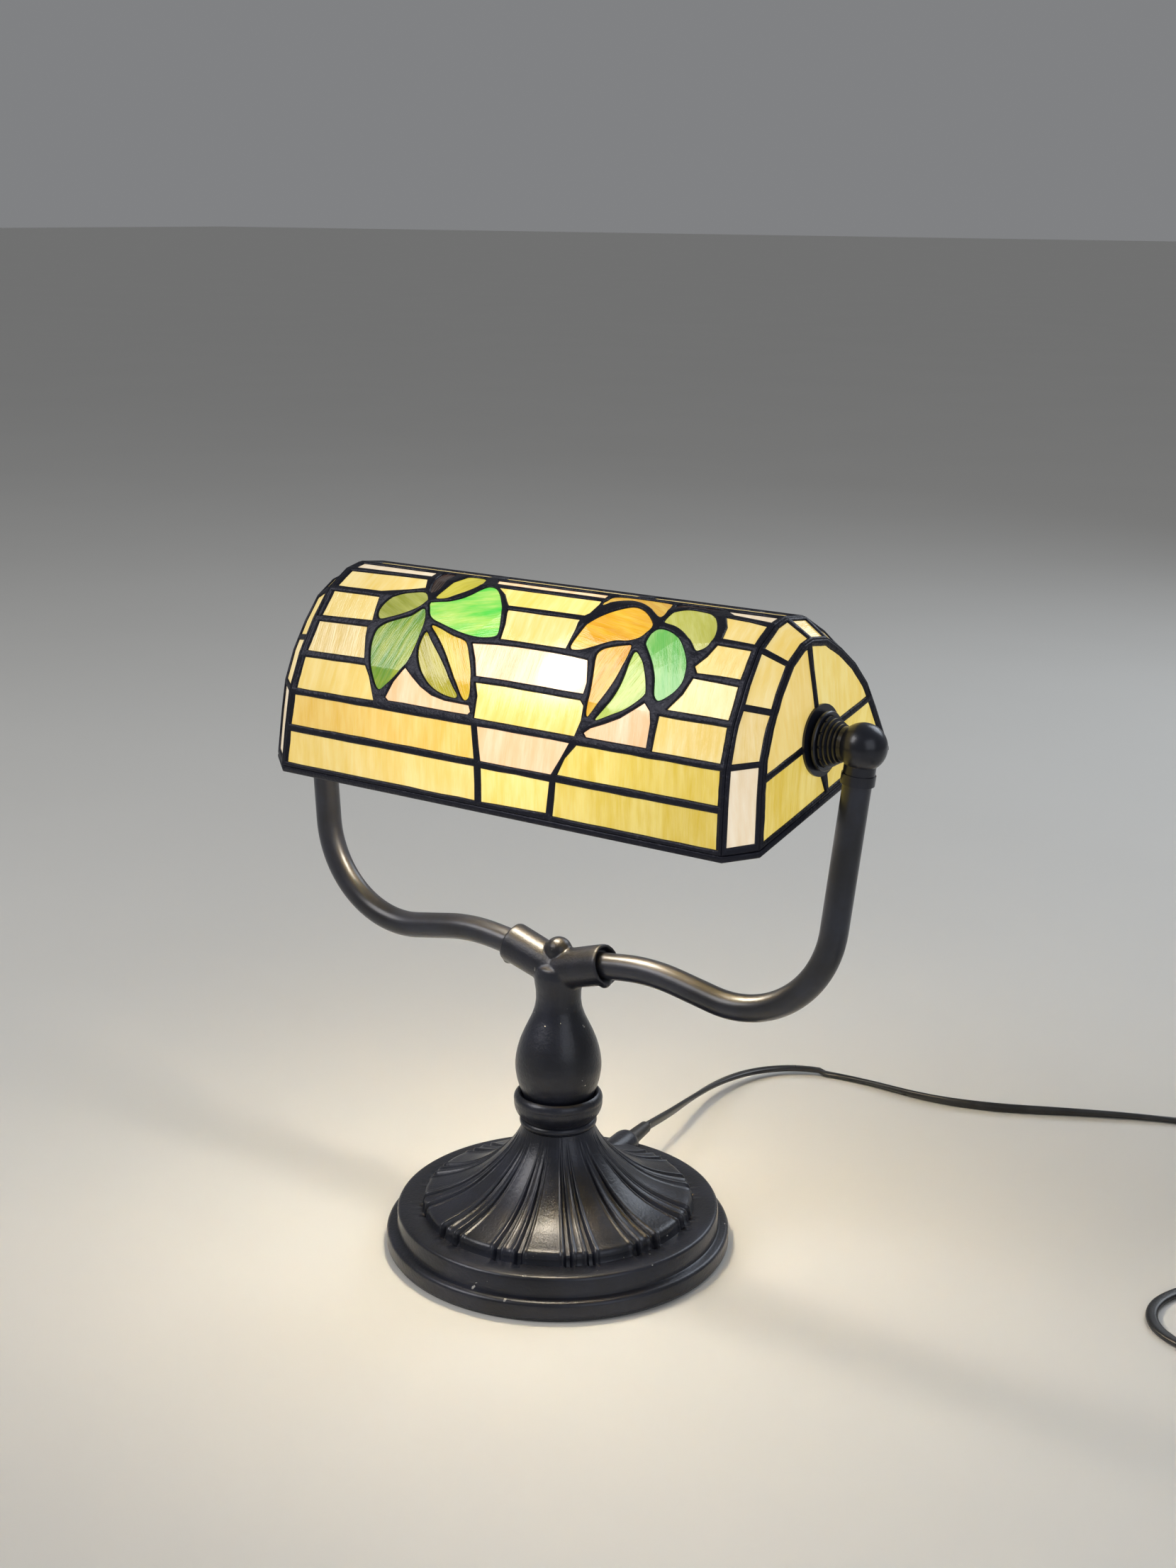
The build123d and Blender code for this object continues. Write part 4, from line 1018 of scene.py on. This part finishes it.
def stained_glass(name):
    """Opalescent glass, lit from behind: streaks along the sheet, wispy clouds, and painted glow, brighter by
    the bulb, with a painted hot spot where the bulb shows through.
    """
    finish = Finish(name, Emission_Strength=2.6, Specular_IOR_Level=0.5, IOR=1.52)
    sheet = finish.attribute("grain", "Vector")
    streak = finish.noise(finish.stretch(sheet, (0.045, 0.34, 0.2)), 1.0, 4.0, 0.6)
    wisp = finish.noise(finish.stretch(sheet, (0.03, 0.07, 0.1)), 1.0, 3.0, 0.5)
    fine = finish.noise(finish.stretch(sheet, (0.12, 1.6, 1.0)), 1.0, 2.0)
    amount = (streak * 0.6 + wisp * 0.6).step(0.40, 0.86)
    colour = finish.mix(amount, finish.attribute("pane"), finish.attribute("vein"))
    colour = finish.mix(fine.step(0.3, 0.8) * 0.06, colour, (1.0, 0.95, 0.82, 1))
    # painted light: the emission stands in for bulb light through the glass, stronger near the bulb, with a
    # painted hot spot where the bulb shows through the front
    painted_bulb_glow = 1.0 - finish.distance((0.004, 0.0, 0.268)).step(0.03, 0.125)
    painted_hot_spot = 1.0 - finish.distance((0.028, -0.0361, 0.282)).step(0.002, 0.017)
    glow = painted_bulb_glow * 0.16 + painted_hot_spot * 0.22 + 0.28
    grey = finish.node("ShaderNodeCombineXYZ", {}, {0: glow, 1: glow, 2: glow})
    lit = finish.mix(1.0, colour, grey, "MULTIPLY")
    lit = finish.mix(painted_hot_spot * 0.45, lit, (1.0, 0.93, 0.74, 1))
    skin = finish.mix(1.0, colour, (0.45, 0.45, 0.45, 1), "MULTIPLY")
    finish.feed(Base_Color=skin, Emission_Color=lit)
    finish.feed(Roughness=streak * 0.12 + 0.08)
    finish.bump(streak * 0.6 + fine * 0.25 + wisp * 0.6, 0.0003)
    return finish.material


opal = stained_glass("opalescent_glass")
front_pieces = front_rows + front_leaves
add_piece("glass_front_panes", glass_pieces("front", front_pieces, fold_places, on_barrel), "shade",
          opal, "front_glass", "glass_front", "glass_crown")
add_piece("glass_back_panes", glass_pieces("back", back_rows, fold_places, on_barrel), "shade",
          opal, "field_glass", "glass_back")
for side, word in ((-1, "left"), (1, "right")):
    add_piece(f"glass_band_{word}", glass_pieces("band", band_rows, fold_places, on_band(side)), "shade",
              opal, "band_glass", f"glass_bevel_{word}")
    add_piece(f"glass_lights_{word}", glass_pieces("end", end_lights, [], on_end(side)), "shade",
              opal, "field_glass", f"glass_end_{word}")


# ---------------------------------------------------------------- shade: solder
# Copper foil round every piece is run together with solder into raised dark lines, blackened with
# patina. Heavier beads close the corners of the barrel, and a channel stiffens the foot.
def patina():
    """Blackened solder: slightly lumpy, with bright rubbed spots on the high places."""
    finish = Finish("black_solder", Metallic=0.55, Specular_IOR_Level=0.5)
    place = finish.place()
    lumps = finish.noise(place, 190.0, 3.0)
    fine = finish.noise(place, 900.0, 3.0)
    rubbed = (lumps * 0.7 + fine * 0.3).step(0.6, 0.72)
    finish.feed(Base_Color=finish.mix(rubbed * 0.35, (0.012, 0.013, 0.024, 1), (0.07, 0.075, 0.10, 1)))
    finish.feed(Roughness=0.34 + fine * 0.2 - rubbed * 0.08)
    finish.bump(lumps * 1.0 + fine * 0.25, 0.0007)
    return finish.material


solder = patina()
barrel_outline = [(-(barrel_half - end_lean * v), fold) for (_, v), fold in zip(ring, fold_places)]
barrel_outline += [(-x, fold) for x, fold in reversed(barrel_outline)]
band_outline = [(0.0, fold_places[0]), (band_width, fold_places[0]), (band_width, fold_places[-1]),
                (0.0, fold_places[-1])]
end_outline = list(end_ring)
hub_radius = 5.5
hub_angles = [math.radians(angle) for angle in range(0, 360, 20)]
hub_hole = [(hub_radius * math.cos(angle), hub_radius * math.sin(angle)) for angle in hub_angles]
channel_width = 5.0
channel_depth = 3.0
bead_inset = 2.7
bead_inputs = {"Radius": 0.0017, "Lumps": 0.0005, "Spacing": 0.0012, "Seed": 0.0}


def solder_net(outline, pieces, folds, place, extra=()):
    """The solder between the pieces of one part of the shade."""
    holes = [cut_outline(sort, piece) for sort, _, piece in pieces]
    flat = plate([outline, *holes, *extra], solder_depth, glass_sink, -0.2)
    return bent(flat, folds, place, 0.0, solder_depth)[:2]


def rim_channel():
    """The channel soldered along the foot."""
    foot = arch[0][1]
    loop = [(end_half - end_lean * foot, foot_half), (barrel_half - end_lean * foot, arch[0][0])]
    loop += [(-x, u) for x, u in reversed(loop)]
    loop += [(x, -u) for x, u in reversed(loop)]
    inner = [(x - math.copysign(channel_width * 0.9, x), u - math.copysign(channel_width, u))
             for x, u in loop]
    flat = plate([loop, inner], channel_depth, glass_sink, 0.0)
    return bent(flat, [], lambda x, u, depth: in_lamp(x, u, foot - depth), 0.0, channel_depth)[:2]


def seam_bead_tree():
    """Geometry nodes that run a lumpy round bead along every edge of a wire."""
    tree = bpy.data.node_groups.new("seam_bead", "GeometryNodeTree")
    tree.interface.new_socket("Geometry", in_out="INPUT", socket_type="NodeSocketGeometry")
    for name in bead_inputs:
        tree.interface.new_socket(name, in_out="INPUT", socket_type="NodeSocketFloat")
    tree.interface.new_socket("Geometry", in_out="OUTPUT", socket_type="NodeSocketGeometry")
    made = {}
    for key, kind in (
            ("in", "NodeGroupInput"), ("out", "NodeGroupOutput"), ("wire", "GeometryNodeMeshToCurve"),
            ("even", "GeometryNodeResampleCurve"), ("size", "GeometryNodeSetCurveRadius"),
            ("spot", "GeometryNodeInputPosition"), ("shift", "ShaderNodeVectorMath"),
            ("noise", "ShaderNodeTexNoise"), ("lump", "ShaderNodeMath"), ("add", "ShaderNodeMath"),
            ("round", "GeometryNodeCurvePrimitiveCircle"), ("sweep", "GeometryNodeCurveToMesh"),
            ("real", "GeometryNodeRealizeInstances"), ("paint", "GeometryNodeSetMaterial")):
        made[key] = tree.nodes.new(kind)
    made["even"].mode = "LENGTH"
    made["lump"].operation = "MULTIPLY"
    made["noise"].inputs["Scale"].default_value = 160.0
    made["round"].inputs["Resolution"].default_value = 12
    made["round"].inputs["Radius"].default_value = 1.0
    made["sweep"].inputs["Fill Caps"].default_value = True
    made["paint"].inputs["Material"].default_value = solder
    for source, output, target, socket in (
            ("in", "Geometry", "wire", "Mesh"), ("wire", "Curve", "even", "Curve"),
            ("in", "Spacing", "even", "Length"), ("spot", "Position", "shift", 0), ("in", "Seed", "shift", 1),
            ("shift", "Vector", "noise", "Vector"), ("noise", 0, "lump", 0), ("in", "Lumps", "lump", 1),
            ("lump", 0, "add", 0), ("in", "Radius", "add", 1), ("even", "Curve", "size", "Curve"),
            ("add", 0, "size", "Radius"), ("size", "Curve", "sweep", "Curve"),
            ("round", "Curve", "sweep", "Profile Curve"), ("add", 0, "sweep", "Scale"),
            ("sweep", "Mesh", "real", "Geometry"), ("real", "Geometry", "paint", "Geometry"),
            ("paint", "Geometry", "out", "Geometry")):
        tree.links.new(made[source].outputs[output], made[target].inputs[socket])
    return tree


def bead_wire():
    """Wires along the corners between barrel, bands and ends, a little inside the surface."""
    verts, edges = [], []
    shrink = 1 - bead_inset / 55
    for side in (-1, 1):
        for edge, half in ((ring, barrel_half), (end_ring, end_half)):
            start = len(verts)
            for u, v in edge:
                verts.append(tuple(in_lamp(side * (half - end_lean * v - bead_inset * 0.75), u * shrink,
                                           8 + (v - 8) * shrink)))
            edges += [(start + index, start + index + 1) for index in range(len(edge) - 1)]
    return verts, edges


nets = [solder_net(barrel_outline, front_pieces + back_rows, fold_places, on_barrel), rim_channel()]
for side in (-1, 1):
    nets.append(solder_net(band_outline, band_rows, fold_places, on_band(side)))
    nets.append(solder_net(end_outline, end_lights, [], on_end(side), [hub_hole]))
net_verts, net_faces = [], []
for verts, faces in nets:
    net_faces += [tuple(index + len(net_verts) for index in face) for face in faces]
    net_verts += verts
net_mesh = bpy.data.meshes.new("solder_lines")
net_mesh.from_pydata(net_verts, [], net_faces)
soften(net_mesh, 60)
add_piece("solder_lines", net_mesh, "shade", solder, "solder", "solder_lattice", "shade_rim")

wire_verts, wire_edges = bead_wire()
wire_mesh = bpy.data.meshes.new("corner_beads")
wire_mesh.from_pydata(wire_verts, wire_edges, [])
wire = bpy.data.objects.new("corner_wire", wire_mesh)
bpy.context.collection.objects.link(wire)
run_bead = wire.modifiers.new("bead", "NODES")
run_bead.node_group = seam_bead_tree()
for socket in run_bead.node_group.interface.items_tree:
    if socket.name in bead_inputs:
        run_bead[socket.identifier] = bead_inputs[socket.name]
bead_mesh = shown_mesh(wire)
bpy.data.objects.remove(wire)
soften(bead_mesh, 60)
add_piece("corner_beads", bead_mesh, "shade", solder, "solder")


# ---------------------------------------------------------------- studio
# A plain pale floor. One large soft light stands at the front left, a dim fill at the right, and a
# rim light behind.
floor_mesh = bpy.data.meshes.new("floor")
floor_mesh.from_pydata([(-30, -30, 0), (30, -30, 0), (30, 30, 0), (-30, 30, 0)], [], [(0, 1, 2, 3)])
floor = bpy.data.objects.new("floor", floor_mesh)
bpy.context.collection.objects.link(floor)
pale = Finish("pale_floor", Specular_IOR_Level=0.25)
cloud = pale.noise(pale.place(), 3.0, 3.0)
pale.feed(Base_Color=pale.mix(cloud, (0.70, 0.69, 0.66, 1), (0.74, 0.73, 0.70, 1)))
pale.feed(Roughness=cloud * 0.1 + 0.6)
floor_mesh.materials.append(pale.material)


def soft_light(name, place, aim, size, power, colour):
    """A square soft light that faces a point."""
    light = bpy.data.lights.new(name, "AREA")
    light.size = size
    light.energy = power
    light.color = colour
    lamp = bpy.data.objects.new(name, light)
    bpy.context.collection.objects.link(lamp)
    lamp.location = place
    lamp.rotation_euler = (Vector(aim) - Vector(place)).to_track_quat("-Z", "Y").to_euler()


soft_light("key", (-0.9, -1.2, 1.5), (0, 0, 0.15), 0.9, 17.0, (1.0, 0.97, 0.93))
soft_light("fill", (1.5, -0.7, 0.9), (0, 0, 0.15), 1.2, 5.0, (0.9, 0.94, 1.0))
soft_light("rim", (0.3, 1.5, 1.2), (0, 0, 0.2), 0.9, 9.0, (0.85, 0.92, 1.0))
world = bpy.data.worlds.new("studio")
bpy.context.scene.world = world
world.use_nodes = True
world.node_tree.nodes["Background"].inputs["Color"].default_value = (0.62, 0.63, 0.65, 1)
world.node_tree.nodes["Background"].inputs["Strength"].default_value = 0.35
